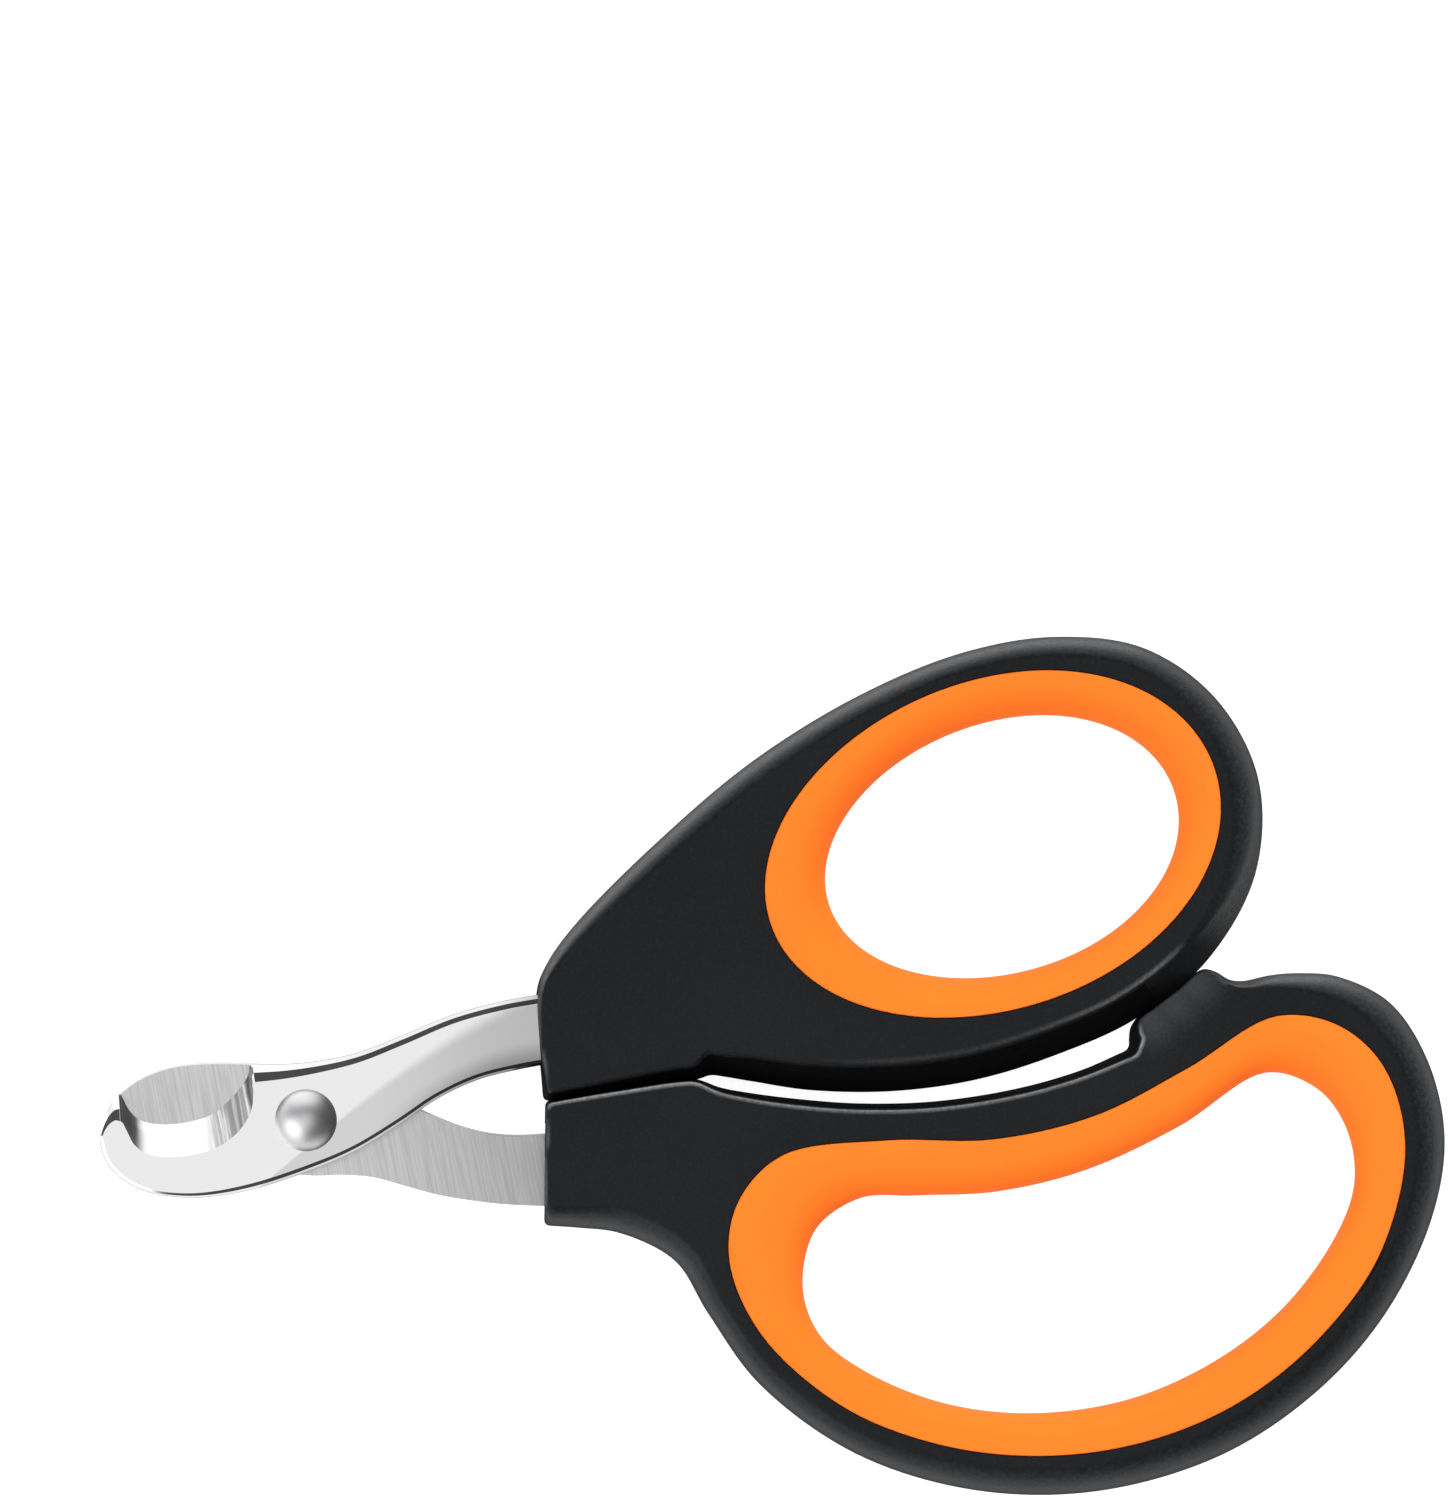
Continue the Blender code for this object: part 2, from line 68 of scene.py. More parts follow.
# Sizes in millimetres.
SEAM = 0.04  # gap between two half shells
SEAM_BEVEL = 0.1  # the shells' rims along the seam
LAP = Vector((0.04, -0.08))  # the top halves' straight walls stand this much aside
JOINT = 0.03  # gap between a shell and its insert
RIM = 0.09  # rounding where a shell and its insert meet
SUPPORT = 0.25  # flat strip inside a rounded edge
FILLET = 0.28  # edge of a straight wall
HANDLE_CORNER = 0.6  # rounding of the handles' corners in plan
BLADE_CORNER = 0.3
TONGUE_REACH = 1.2  # how far an insert's tongue goes into the shells
TONGUE_HALF = 1.0  # half its thickness
RIM_LEAN = 0.02  # where an insert's top starts, as a share of the way to its hole

PIN_RADIUS = 1.8  # pin that runs through a tang's hole
PIN_GAP = 0.1
PIN_ROOT = 1.0  # how deep a pin is rooted in its own shell
POCKET_START = 0.5  # how far before the parting plane a pocket's cutter starts
SOCKET_DEPTH = 1.2  # how far past the tang a pin's socket goes

EDGE_BEVEL = 0.45  # set-back of a blade's outer face where its row gives none
MATING_CHAMFER = 0.15
BROKEN_EDGE = 0.03  # tiny rounding where a bevel meets the blade's side
LEAST_SIDE = 0.3  # height of a blade's side where its bevel is widest
SOFT_BEVEL = math.tan(math.radians(23))  # slope of the bevel's inner part
STEEP_BEVEL = math.tan(math.radians(42))  # slope of its outer part
STEEP_SHARE = 0.44  # the steep part's share of the bevel
WIDE_BEVEL = 1.2  # past this width the steep part takes up more
WIDE_GAIN = 0.07  # by this much of the bevel for each millimetre
GROUND_RISE = (0, 0.05, 0.3, 0.35, 0.7, 1)  # rings of a ground edge, as shares of its slope

BARREL_RADIUS = 1.9
SHANK_RADIUS = 1.1
PIVOT_GAP = 0.1  # around the nut, under its head and around the screw's shank
DOME_RADIUS = 3.0
DOME_LIP = 0.08  # the dome's edge turns under by this much
SHANK_CHAMFER = 0.2
SHANK_STOP = 0.5  # the shank ends this far below the thumb blade's outer face
SCREW_HEAD_RADIUS = 3.1
HEAD_LIP = 0.05  # the head's seat is this much narrower than the head
HEAD_ROUND = 0.8
RECESS_DEPTH = 0.95
RECESS_MOUTH = (3.6, 0.85)  # length and width of a slot of the cross, at the head's face
RECESS_FLOOR = (1.9, 0.5)
RECESS_START = 0.2  # how far outside the head its cutter starts
THROUGH = (-1.0, TOP + 1.0)  # a hole's cutter, from below the object to above it

HIGHLIGHT_BY_LEVEL = {1: 0.6, 2: 0.9, 3: 1.0, 4: 0.8, 5: 0.4}  # painted highlight on a crisp edge's bands, counted out from the flat face

WALL_FROM = 0.8  # how straight a side is before it counts as a wall
WALL_END = 83.0  # past this x a handle's straight side keeps the faces' moulding, not the painted-shade wall copy
WALL_FADE = 7.0  # how far past there its painted shade reaches
HIGHLIGHT_FROM = 0.87  # how straight a wall is before its edge gets a painted highlight
SOFT_HIGHLIGHT = 0.1  # how much painted highlight the middle of a soft edge gets
SHADED_FROM = 0.3  # how straight a side is before it takes part in that fading
WALL_LEVELS = 4  # bands of a handle's side that belong to its wall
STOP_BLOCK_SPOTS = ((82.4, 2.6), (84.6, 4.2), (86.8, 5.8))  # middles of the painted sheen on the stop block
SPOT_RADIUS = 4.2
SPOT_SHARE = 0.9  # how much of the plastic's colour the painted sheen covers there

SPLINE_STEPS = 10
CORNER_STEPS = 8
PROFILE_STEPS = 12
PLANE_STEPS = 3  # steps of the profile that lie on a straight wall
SLOT_STEPS = 24
DOME_STEPS = 24
HEAD_STEPS = 8
CUTTER_SIDES = 64
ROUND_SIDES = 128

# Handle outlines at the parting plane: x, y, how far the flat face stands back from there, and
# how straight the wall is: 0 for a soft round, up to 1 for a plane with a crisp edge under a
# painted highlight.
THUMB_HANDLE = [
    [(23.05, -0.14, 0.85, 0.87), (23.1, 5.0, 0.5, 0.87), (23.4, 10.7, 0.8, 0.2),
     (24.65, 13.2, 1.1, 0), (27.7, 16.7, 1.6, 0), (36.5, 24.1, 2.1, 0), (46.3, 31.0, 2.2, 0),
     (57.1, 36.4, 2.1, 0), (67.5, 39.65, 2.0, 0), (76.6, 40.36, 2.0, 0), (85.0, 38.5, 2.3, 0),
     (91.5, 33.0, 2.8, 0), (94.9, 24.9, 3.1, 0), (93.8, 15.8, 3.1, 0.3), (88.4, 7.9, 2.9, 0.86),
     (81.0, 2.85, 2.9, 0.91), (72.9, 0.0, 2.95, 0.89), (65.0, -1.7, 3.0, 0.88),
     (56.9, -2.1, 3.05, 0.88), (48.9, -1.3, 3.0, 0.87), (43.5, 0.0, 2.85, 0.87),
     (41.0, 0.65, 2.6, 0.87)],
    [(39.4, 1.05, 2.5, 0.87)],
    [(38.1, 0.64, 1.6, 0.87), (36.5, 0.74, 1.55, 0.87), (30.0, 0.35, 1.2, 0.87)],
]
FINGER_HANDLE = [
    [(22.1, -12.2, 22.7, -10.3, 0.2), (22.75, -5.0, 0.45, 0.87)],
    [(23.25, -0.15, 0.4, 1), (30.0, 0.34, 0.4, 1), (36.5, 0.73, 0.4, 1), (38.1, 0.63, 0.45, 1),
     (40.3, -0.35, 0.6, 0.96), (42.8, -1.05, 0.7, 0.96), (47.1, -2.0, 0.78, 0.96),
     (53.5, -3.05, 0.78, 0.96), (61.0, -3.5, 0.78, 0.96), (69.0, -2.95, 0.78, 0.96),
     (75.2, -1.75, 0.8, 0.97)],
    [(80.1, -0.12, 0.9, 1), (80.2, 1.0, 1.4, 1), (80.4, 1.9, 1.1, 0.96), (81.1, 2.83, 0.6, 0.87),
     (82.58, 3.665, 0.45, 0.87), (84.14, 4.575, 0.4, 0.87), (85.65, 5.575, 0.4, 0.87),
     (87.0, 6.6, 0.4, 0.87), (88.0, 7.0, 0.4, 0.87), (89.1, 6.67, 0.5, 0.87),
     (90.4, 5.77, 0.6, 0.87), (91.7, 5.53, 0.8, 0.6), (94.4, 5.85, 1.3, 0),
     (97.3, 5.8, 1.8, 0), (100.9, 5.15, 2.4, 0), (105.7, 2.2, 2.9, 0), (108.9, -3.8, 3.0, 0),
     (109.86, -11.4, 3.0, 0), (107.9, -19.1, 3.0, 0), (102.6, -27.9, 3.0, 0),
     (95.2, -34.9, 3.0, 0), (85.5, -40.15, 3.0, 0), (73.3, -42.55, 3.0, 0),
     (61.4, -41.4, 2.9, 0), (50.3, -36.9, 2.4, 0), (41.6, -29.4, 2.2, 0), (37.2, -22.1, 2.1, 0),
     (34.5, -16.8, 2.4, 0), (29.4, -13.6, 2.8, 0), (25.3, -12.7, 2.3, 0)],
]

# Thumb opening: centre x and y, half length, half width, tilt in degrees.
THUMB_SEAT = (68.6, 20.7, 22.8, 15.9, 15.0)
THUMB_OPENING = (69.5, 20.4, 17.6, 12.1, 13.2)
EGG = 0.03  # the thumb opening's far end is this much fuller than its near end
THUMB_STATIONS = 180
THUMB_FULLNESS = 2.5  # 2 for an elliptic section, and more for one that stays flat for longer
FINGER_FULLNESS = 3.4

# Finger opening: a point on the insert's outer edge and the point of its hole across from it.
FINGER_OPENING = [
    (94.6, 1.9, 93.0, -3.55), (100.6, 0.4, 97.8, -5.4), (104.6, -4.1, 100.3, -9.2),
    (105.9, -11.9, 100.8, -14.6), (102.8, -21.5, 98.3, -20.2), (96.3, -29.3, 92.8, -26.4),
    (87.9, -35.0, 85.7, -31.0), (78.3, -38.1, 77.3, -33.9), (68.2, -38.6, 68.2, -34.5),
    (58.3, -36.6, 59.7, -32.9), (49.2, -32.0, 52.2, -29.2), (42.2, -24.6, 47.7, -24.9),
    (39.7, -17.3, 46.6, -19.9), (41.1, -11.4, 48.3, -14.9), (45.9, -7.3, 52.6, -12.3),
    (55.9, -6.8, 58.3, -12.45), (66.1, -7.6, 66.2, -12.75), (76.1, -6.2, 75.0, -11.4),
    (85.5, -2.4, 84.3, -8.0),
]

# Blade outlines in the mating plane: x, y and the outer face's set-back, or x, y and the outer
# face's own point where the steel is ground back.
THUMB_BLADE = [
    [(-17.8, 4.25, -17.75, 1.42), (-18.6, 3.4, -18.4, 1.6), (-19.35, 2.2, -19.1, 1.2),
     (-20.0, 0.5, -19.75, 0.2), (-20.08, -0.6, 0.38), (-19.7, -2.2, 0.35),
     (-18.3, -4.1, 0.35), (-15.9, -5.6, 0.35), (-13.0, -6.35, 0.4), (-10.0, -6.6, 0.5),
     (-5.5, -6.2, 0.6), (0.0, -4.9, 0.6), (4.5, -3.4, 0.55), (9.0, -1.2, 0.55),
     (13.0, 1.0, 0.55), (17.0, 2.45, 0.55), (21.0, 3.1, 0.55), (26.0, 3.6, 0.55),
     (32.0, 4.7, 0.55)],
    [(41.0, 7.2, 0.5)],
    [(39.6, 13.4, 0.5), (32.0, 11.5, 0.7), (26.0, 10.4, 0.8), (20.0, 9.85, 0.85),
     (15.0, 8.95, 0.85), (10.0, 7.4, 0.9), (5.5, 6.1, 0.95), (2.0, 5.65, 1.1),
     (-1.5, 5.6, 1.4)],
    [(-5.0, 5.9, -4.9, 4.1), (-5.2, 4.9, -4.85, 3.2), (-5.9, 3.9, -5.2, 1.4),
     (-7.2, 2.6, -6.6, -0.5), (-9.2, 1.3, -8.9, -1.9), (-12.3, 0.75, -12.3, -2.45),
     (-14.8, 0.95, -15.4, -2.0), (-16.1, 1.45, -16.75, -0.95), (-17.0, 2.4, -17.35, 0.4)],
]
THUMB_GROUND = 3  # the stretch that is ground to a cutting edge
FINGER_BLADE = [
    [(-18.7, -2.5, -18.9, -1.2), (-16.5, -1.2, -17.0, 0.8), (-13.5, -0.6, -13.5, 1.6),
     (-10.5, -0.9, -10.2, 1.3), (-8.2, -2.1, -7.4, -0.4), (-4.0, -4.4), (0.0, -5.4),
     (3.0, -5.6), (6.0, -6.1), (9.0, -7.2), (12.0, -8.3), (15.0, -9.1), (19.0, -9.9),
     (26.0, -10.6), (32.0, -10.5)],
    [(37.0, -9.8)],
    [(37.0, -3.4), (30.0, -3.2), (20.0, -3.2), (16.0, -2.3), (11.8, -0.3), (9.0, 1.5),
     (5.0, 4.0), (1.0, 5.2), (-2.5, 5.6), (-6.0, 6.1), (-10.0, 6.4), (-13.2, 6.2),
     (-16.2, 5.2), (-18.6, 3.4), (-19.9, 0.9)],
    [(-19.9, -1.6)],
]
FINGER_GROUND = 0

# Pockets for the tangs: the two ends of a round-ended slot's middle line, and its width.
THUMB_POCKET = ((15.0, 5.6), (38.8, 10.4), 8.6)
FINGER_POCKET = ((10.0, -6.9), (34.4, -6.8), 9.0)
THUMB_TANG_HOLE = (34.5, 9.3)
FINGER_TANG_HOLE = (30.0, -6.9)

BRUSH_TURN = -6  # degrees between the brush marks and the y axis

# Border of a painted reflection over the thumb blade: its face is darker past it.
REFLECTION_TURN = math.radians(34.7)  # its direction
REFLECTION_ASIDE = 2.1  # how far it runs below the pivot
REFLECTION_BEND_START = 2.2  # how far along it starts to bend and soften
REFLECTION_BEND = 0.005  # its bend, times the square of the distance from there
REFLECTION_SOFTNESS = 0.15  # half its width
REFLECTION_SOFTENING = 0.045  # how much wider for each millimetre from there

# Painted shade along the thumb blade's lower edge, which is close to an arc there.
EDGE_SHADE_CREST = (24, 3.4)
EDGE_SHADE_ARC = 0.0225  # how much lower the edge runs, times the square of the distance from there
EDGE_SHADE_COLOUR = (0.1, 0.1, 0.1)

# Lights of the studio: azimuth and half width in degrees, height from and to as sines, radiance.
LIGHT_BANDS = (
    (0, 180, -0.85, -0.2, 1.0),  # low light all round
    (112, 52, -0.85, -0.12, 2.8),  # more of it behind the thumb handle
    (180, 125, -0.5, 0.24, 1.3),  # pale horizon on the jaws' side
    (92, 38, 0.02, 0.62, 1.7),  # box behind
    (210, 38, 0.3, 0.86, 3.3),  # box in front, on the jaws' side
)
OVERHEAD = (0.88, 0.93, 1.25)  # box overhead: its border's outer and inner sine, radiance
AMBIENT = 0.09
BAND_SOFTNESS = 0.15  # of a band's ends, as a cosine
BAND_FADE = 0.05  # of its lower and upper border, as a sine
TABLE_DROP = 0.02  # mm under the object, so that the two don't share a plane

# Camera, in metres.
CAMERA_AIM = (-0.0014, 0.0333)
CAMERA_DISTANCE = 3.0
CAMERA_TURN = math.radians(-5)
FRAME_HEIGHT = 0.1455  # what the picture shows from bottom to top


# ---- outlines ----

def spline(rows, steps, closed=False):
    """Centripetal Catmull-Rom curve through rows, with steps points per span."""
    rows = [Vector(row) for row in rows]
    if closed:
        rows = [rows[-1]] + rows + rows[:2]
    else:
        rows = [2 * rows[0] - rows[1]] + rows + [2 * rows[-1] - rows[-2]]
    points = []
    for before, start, end, after in zip(rows, rows[1:], rows[2:], rows[3:]):
        t1 = math.sqrt((start - before).length)
        t2 = t1 + math.sqrt((end - start).length)
        t3 = t2 + math.sqrt((after - end).length)
        for step in range(steps):
            t = t1 + (t2 - t1) * step / steps
            a1 = before.lerp(start, t / t1)
            a2 = start.lerp(end, (t - t1) / (t2 - t1))
            a3 = end.lerp(after, (t - t2) / (t3 - t2))
            b1 = a1.lerp(a2, t / t2)
            b2 = a2.lerp(a3, (t - t1) / (t3 - t1))
            points.append(b1.lerp(b2, (t - t1) / (t2 - t1)))
    if not closed:
        points.append(rows[-2])
    return points


def bezier(start, control, end, t):
    return start.lerp(control, t).lerp(control.lerp(end, t), t)


def inward(before, here, after):
    """Mitred inward direction at a point of a clockwise loop, for a unit offset."""
    first = (here - before).normalized()
    second = (after - here).normalized()
    first_normal = Vector((first.y, -first.x))
    second_normal = Vector((second.y, -second.x))
    return (first_normal + second_normal) / (1 + first_normal.dot(second_normal))


def is_clockwise(loop):
    following = loop[1:] + loop[:1]
    return sum(a.x * b.y - b.x * a.y for a, b in zip(loop, following)) < 0


def offset(loop, distance):
    """A closed loop moved inwards by distance, or outwards if it is negative."""
    side = 1 if is_clockwise(loop) else -1
    count = len(loop)
    return [here + inward(loop[i - 1], here, loop[(i + 1) % count]) * distance * side
            for i, here in enumerate(loop)]


def trimmed(row, other, distance):
    """A row with its edge point and its face point each moved towards another row's."""
    moved = Vector(row)
    for first in (0, 2):
        here = Vector(row[first:first + 2])
        step = (Vector(other[first:first + 2]) - here).normalized() * distance
        moved[first] += step.x
        moved[first + 1] += step.y
    return moved


def outline(stretches, corner):
    """Smooth loop of rows (x, y, face x, face y, value) with rounded corners.

    A stretch keeps its own value up to the corner where it ends.
    """
    flat = [Vector(row[:2]) for stretch in stretches for row in stretch]
    side = 1 if is_clockwise(flat) else -1
    full = []
    index = 0
    for stretch in stretches:
        rows = []
        for row in stretch:
            if len(row) == 4:
                after = flat[(index + 1) % len(flat)]
                face = flat[index] + inward(flat[index - 1], flat[index], after) * row[2] * side
                row = (row[0], row[1], face.x, face.y, row[3])
            rows.append(Vector(row))
            index += 1
        full.append(rows)
    loop = []
    for i, rows in enumerate(full):
        following = full[(i + 1) % len(full)]
        end_corner = following[0]
        rows = [trimmed(rows[0], (rows + [end_corner])[1], corner)] + rows[1:]
        rows.append(trimmed(end_corner, full[i][-1], corner))
        rows[-1][4] = full[i][-1][4]
        loop += spline(rows, SPLINE_STEPS)
        next_start = trimmed(end_corner, (following + [full[(i + 2) % len(full)][0]])[1], corner)
        for step in range(1, CORNER_STEPS):
            loop.append(bezier(rows[-1], end_corner, next_start, step / CORNER_STEPS))
    return loop


def blade_outline(stretches, ground):
    """Blade loop whose value is 1 along its ground stretch and 0 elsewhere."""
    marked = []
    for i, stretch in enumerate(stretches):
        value = 1.0 if i == ground else 0.0
        rows = []
        for row in stretch:
            if len(row) == 4:
                rows.append((*row, value))
            else:
                set_back = row[2] if len(row) == 3 else EDGE_BEVEL
                rows.append((row[0], row[1], set_back, value))
        marked.append(rows)
    return outline(marked, BLADE_CORNER)


def egg(shape, steps):
    """Ellipse, fuller at its far end, as a clockwise loop."""
    centre_x, centre_y, half_length, half_width, tilt = shape
    cos_tilt = math.cos(math.radians(tilt))
    sin_tilt = math.sin(math.radians(tilt))
    loop = []
    for step in range(steps):
        angle = -2 * math.pi * step / steps
        along = half_length * math.cos(angle)
        across = half_width * math.sin(angle) * (1 + EGG * math.cos(angle))
        loop.append(Vector((centre_x + along * cos_tilt - across * sin_tilt,
                            centre_y + along * sin_tilt + across * cos_tilt)))
    return loop


def slot_outline(start, end, width):
    """Round-ended slot around the line from start to end."""
    start = Vector(start)
    end = Vector(end)
    heading = (end - start).angle_signed(Vector((1, 0)))
    loop = []
    for centre, first_angle in ((end, -90), (start, 90)):
        for step in range(SLOT_STEPS + 1):
            angle = heading + math.radians(first_angle + 180 * step / SLOT_STEPS)
            loop.append(centre + Vector((math.cos(angle), math.sin(angle))) * width / 2)
    return loop


# ---- meshes ----

def link_mesh(bm, name, materials):
    """Object from a bmesh in pivot millimetres, placed on the pivot."""
    bmesh.ops.recalc_face_normals(bm, faces=bm.faces)
    bmesh.ops.scale(bm, vec=(MM, MM, MM), verts=bm.verts)
    mesh = bpy.data.meshes.new(name)
    bm.to_mesh(mesh)
    bm.free()
    for material in materials:
        mesh.materials.append(material)
    piece = bpy.data.objects.new(name, mesh)
    bpy.context.scene.collection.objects.link(piece)
    piece.location = PIVOT
    return piece


def ring_of(bm, points):
    return [bm.verts.new(point) for point in points]


def skin(bm, rings):
    """Quads between each ring and the next, returned as a list of lists."""
    return [[bm.faces.new((low[i - 1], low[i], high[i], high[i - 1])) for i in range(len(low))]
            for low, high in zip(rings, rings[1:])]


def edge_between(first, second):
    return next(edge for edge in first.link_edges if second in edge.verts)


def fill(bm, *rings):
    """Flat face between closed rings, the first one outside and the others holes in it."""
    edges = [edge_between(vert, ring[i - 1]) for ring in rings for i, vert in enumerate(ring)]
    made = bmesh.ops.triangle_fill(bm, edges=edges, use_beauty=True)
    return [item for item in made["geom"] if isinstance(item, bmesh.types.BMFace)]


def flat_ring(loop, z):
    return [Vector((point[0], point[1], z)) for point in loop]


def prism(name, loop, bottom, top):
    """Cutter with one outline from bottom to top."""
    bm = bmesh.new()
    rings = [ring_of(bm, flat_ring(loop, z)) for z in (bottom, top)]
    skin(bm, rings)
    for ring in rings:
        bm.faces.new(ring)
    return link_mesh(bm, name, [])


def cylinder(name, centre, radius, bottom, top):
    bm = bmesh.new()
    middle = Matrix.Translation((*centre, (bottom + top) / 2))
    bmesh.ops.create_cone(bm, cap_ends=True, segments=CUTTER_SIDES, radius1=radius,
                          radius2=radius, depth=top - bottom, matrix=middle)
    return link_mesh(bm, name, [])


def combine(piece, tool, operation='DIFFERENCE'):
    boolean = piece.modifiers.new(tool.name, 'BOOLEAN')
    boolean.operation = operation
    boolean.object = tool
    boolean.solver = 'EXACT'


def finish_mesh(piece, sharp_angle=30):
    """Applies a piece's modifiers, removes its cutters and shades it smooth."""
    tools = [modifier.object for modifier in piece.modifiers if modifier.type == 'BOOLEAN']
    bpy.context.view_layer.update()
    evaluated = piece.evaluated_get(bpy.context.evaluated_depsgraph_get())
    mesh = bpy.data.meshes.new_from_object(evaluated)
    piece.modifiers.clear()
    piece.data = mesh
    for tool in tools:
        bpy.data.objects.remove(tool, do_unlink=True)
    mesh.shade_smooth()
    mesh.set_sharp_from_angle(angle=math.radians(sharp_angle))
    return piece


def place(piece, body, node):
    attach(piece, body)
    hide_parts(node)
    return piece


# ---- node helpers ----

def new_material(name):
    material = bpy.data.materials.new(name)
    material.use_nodes = True
    return material, material.node_tree, material.node_tree.nodes["Principled BSDF"]


def set_socket(tree, socket, value):
    """Sets a socket to a number or colour, or links it to another node's output."""
    if isinstance(value, bpy.types.NodeSocket):
        tree.links.new(value, socket)
    else:
        socket.default_value = value


def calculate(tree, operation, first, second=0.0):
    node = tree.nodes.new("ShaderNodeMath")
    node.operation = operation
    set_socket(tree, node.inputs[0], first)
    set_socket(tree, node.inputs[1], second)
    return node.outputs[0]


def ramp(tree, value, low, high, out_low=0.0, out_high=1.0):
    """Smooth step from out_low at low to out_high at high."""
    node = tree.nodes.new("ShaderNodeMapRange")
    node.interpolation_type = 'SMOOTHSTEP'
    set_socket(tree, node.inputs["Value"], value)
    node.inputs["From Min"].default_value = low
    node.inputs["From Max"].default_value = high
    node.inputs["To Min"].default_value = out_low
    node.inputs["To Max"].default_value = out_high
    return node.outputs["Result"]


def mix_colour(tree, share, first, second):
    node = tree.nodes.new("ShaderNodeMix")
    node.data_type = 'RGBA'
    set_socket(tree, node.inputs["Factor"], share)
    set_socket(tree, node.inputs["A"], (*first, 1) if isinstance(first, tuple) else first)
    set_socket(tree, node.inputs["B"], (*second, 1) if isinstance(second, tuple) else second)
    return node.outputs["Result"]


def place_in_mm(tree):
    """x and y in the piece's own space, in millimetres from the pivot."""
    coordinates = tree.nodes.new("ShaderNodeTexCoord")
    scaled = tree.nodes.new("ShaderNodeMapping")
    scaled.inputs["Scale"].default_value = (1 / MM, 1 / MM, 1 / MM)
    tree.links.new(coordinates.outputs["Object"], scaled.inputs["Vector"])
    axes = tree.nodes.new("ShaderNodeSeparateXYZ")
    tree.links.new(scaled.outputs["Vector"], axes.inputs[0])
    return axes.outputs["X"], axes.outputs["Y"]


def near_point(tree, x, y, point, radius, share):
    """Share at a point, fading to nothing at a radius from it."""
    across = calculate(tree, 'POWER', calculate(tree, 'SUBTRACT', x, point[0]), 2)
    up = calculate(tree, 'POWER', calculate(tree, 'SUBTRACT', y, point[1]), 2)
    distance = calculate(tree, 'SQRT', calculate(tree, 'ADD', across, up))
    return ramp(tree, distance, radius, 0, 0, share)


def noise(tree, cells_per_mm, detail=2.0, turn=0.0):
    """Noise in the piece's own space, with so many cells per millimetre along x, y and z."""
    coordinates = tree.nodes.new("ShaderNodeTexCoord")
    turned = tree.nodes.new("ShaderNodeMapping")
    turned.inputs["Rotation"].default_value = (0, 0, math.radians(turn))
    tree.links.new(coordinates.outputs["Object"], turned.inputs["Vector"])
    stretched = tree.nodes.new("ShaderNodeMapping")
    stretched.inputs["Scale"].default_value = [cells / MM for cells in cells_per_mm]
    tree.links.new(turned.outputs["Vector"], stretched.inputs["Vector"])
    texture = tree.nodes.new("ShaderNodeTexNoise")
    texture.inputs["Scale"].default_value = 1.0
    texture.inputs["Detail"].default_value = detail
    tree.links.new(stretched.outputs["Vector"], texture.inputs["Vector"])
    return texture.outputs["Fac"]


def bump(tree, shader, height, depth_mm):
    node = tree.nodes.new("ShaderNodeBump")
    node.inputs["Distance"].default_value = depth_mm * MM
    tree.links.new(height, node.inputs["Height"])
    tree.links.new(node.outputs["Normal"], shader.inputs["Normal"])


# ---- materials ----

def black_plastic():
    """Matte moulding with a fine spark-eroded grain, painted highlights along its edges, a painted
    sheen on the stop block and painted shade on the walls near WALL_END.
    """
    material, tree, shader = new_material("black_plastic")
    grain = noise(tree, (2.6, 2.6, 2.6), detail=3)
    patches = noise(tree, (0.04, 0.04, 0.04))
    edge_highlight = tree.nodes.new("ShaderNodeAttribute")
    edge_highlight.attribute_name = "edge_highlight"
    shade = tree.nodes.new("ShaderNodeAttribute")
    shade.attribute_name = "shade"
    shader.inputs["Specular IOR Level"].default_value = 0.13
    plain = mix_colour(tree, patches, (0.0022, 0.0028, 0.0036), (0.0072, 0.008, 0.0095))
    x, y = place_in_mm(tree)
    # painted sheen on and around the stop block, with the grain's lighter flecks added to it
    painted_sheen = 0.0
    for point in STOP_BLOCK_SPOTS:
        painted_sheen = calculate(tree, 'MAXIMUM', painted_sheen,
                            near_point(tree, x, y, point, SPOT_RADIUS, SPOT_SHARE))
    speckle = ramp(tree, grain, 0.3, 0.7, -0.12, 0.12)
    sheen_and_speckle = calculate(tree, 'ADD', painted_sheen, speckle)
    with_sheen_and_speckle = mix_colour(tree, sheen_and_speckle, plain, (0.03, 0.032, 0.036))
    # painted highlight along the edges, broken up by the grain
    highlight_share = calculate(tree, 'MULTIPLY', edge_highlight.outputs["Fac"], ramp(tree, grain, 0.2, 0.8, 0.5, 1))
    colour = mix_colour(tree, highlight_share, with_sheen_and_speckle, (0.25, 0.26, 0.27))
    # painted shade on the walls near WALL_END
    colour = mix_colour(tree, shade.outputs["Fac"], colour, (0.002, 0.002, 0.002))
    tree.links.new(colour, shader.inputs["Base Color"])
    roughness = calculate(tree, 'ADD', ramp(tree, grain, 0.3, 0.7, 0.34, 0.50),
                          calculate(tree, 'MULTIPLY', shade.outputs["Fac"], 0.6))
    tree.links.new(roughness, shader.inputs["Roughness"])
    bump(tree, shader, grain, 0.04)
    return material


def black_wall_painted_shade():
    """The same moulding on the straight walls, darker and dead matte: painted shade."""
    material, tree, shader = new_material("black_wall_painted_shade")
    grain = noise(tree, (2.6, 2.6, 1.0), detail=3)
    shader.inputs["Specular IOR Level"].default_value = 0.03
    colour = mix_colour(tree, grain, (0.002, 0.002, 0.002), (0.006, 0.006, 0.006))
    tree.links.new(colour, shader.inputs["Base Color"])
    shader.inputs["Roughness"].default_value = 0.8
    return material


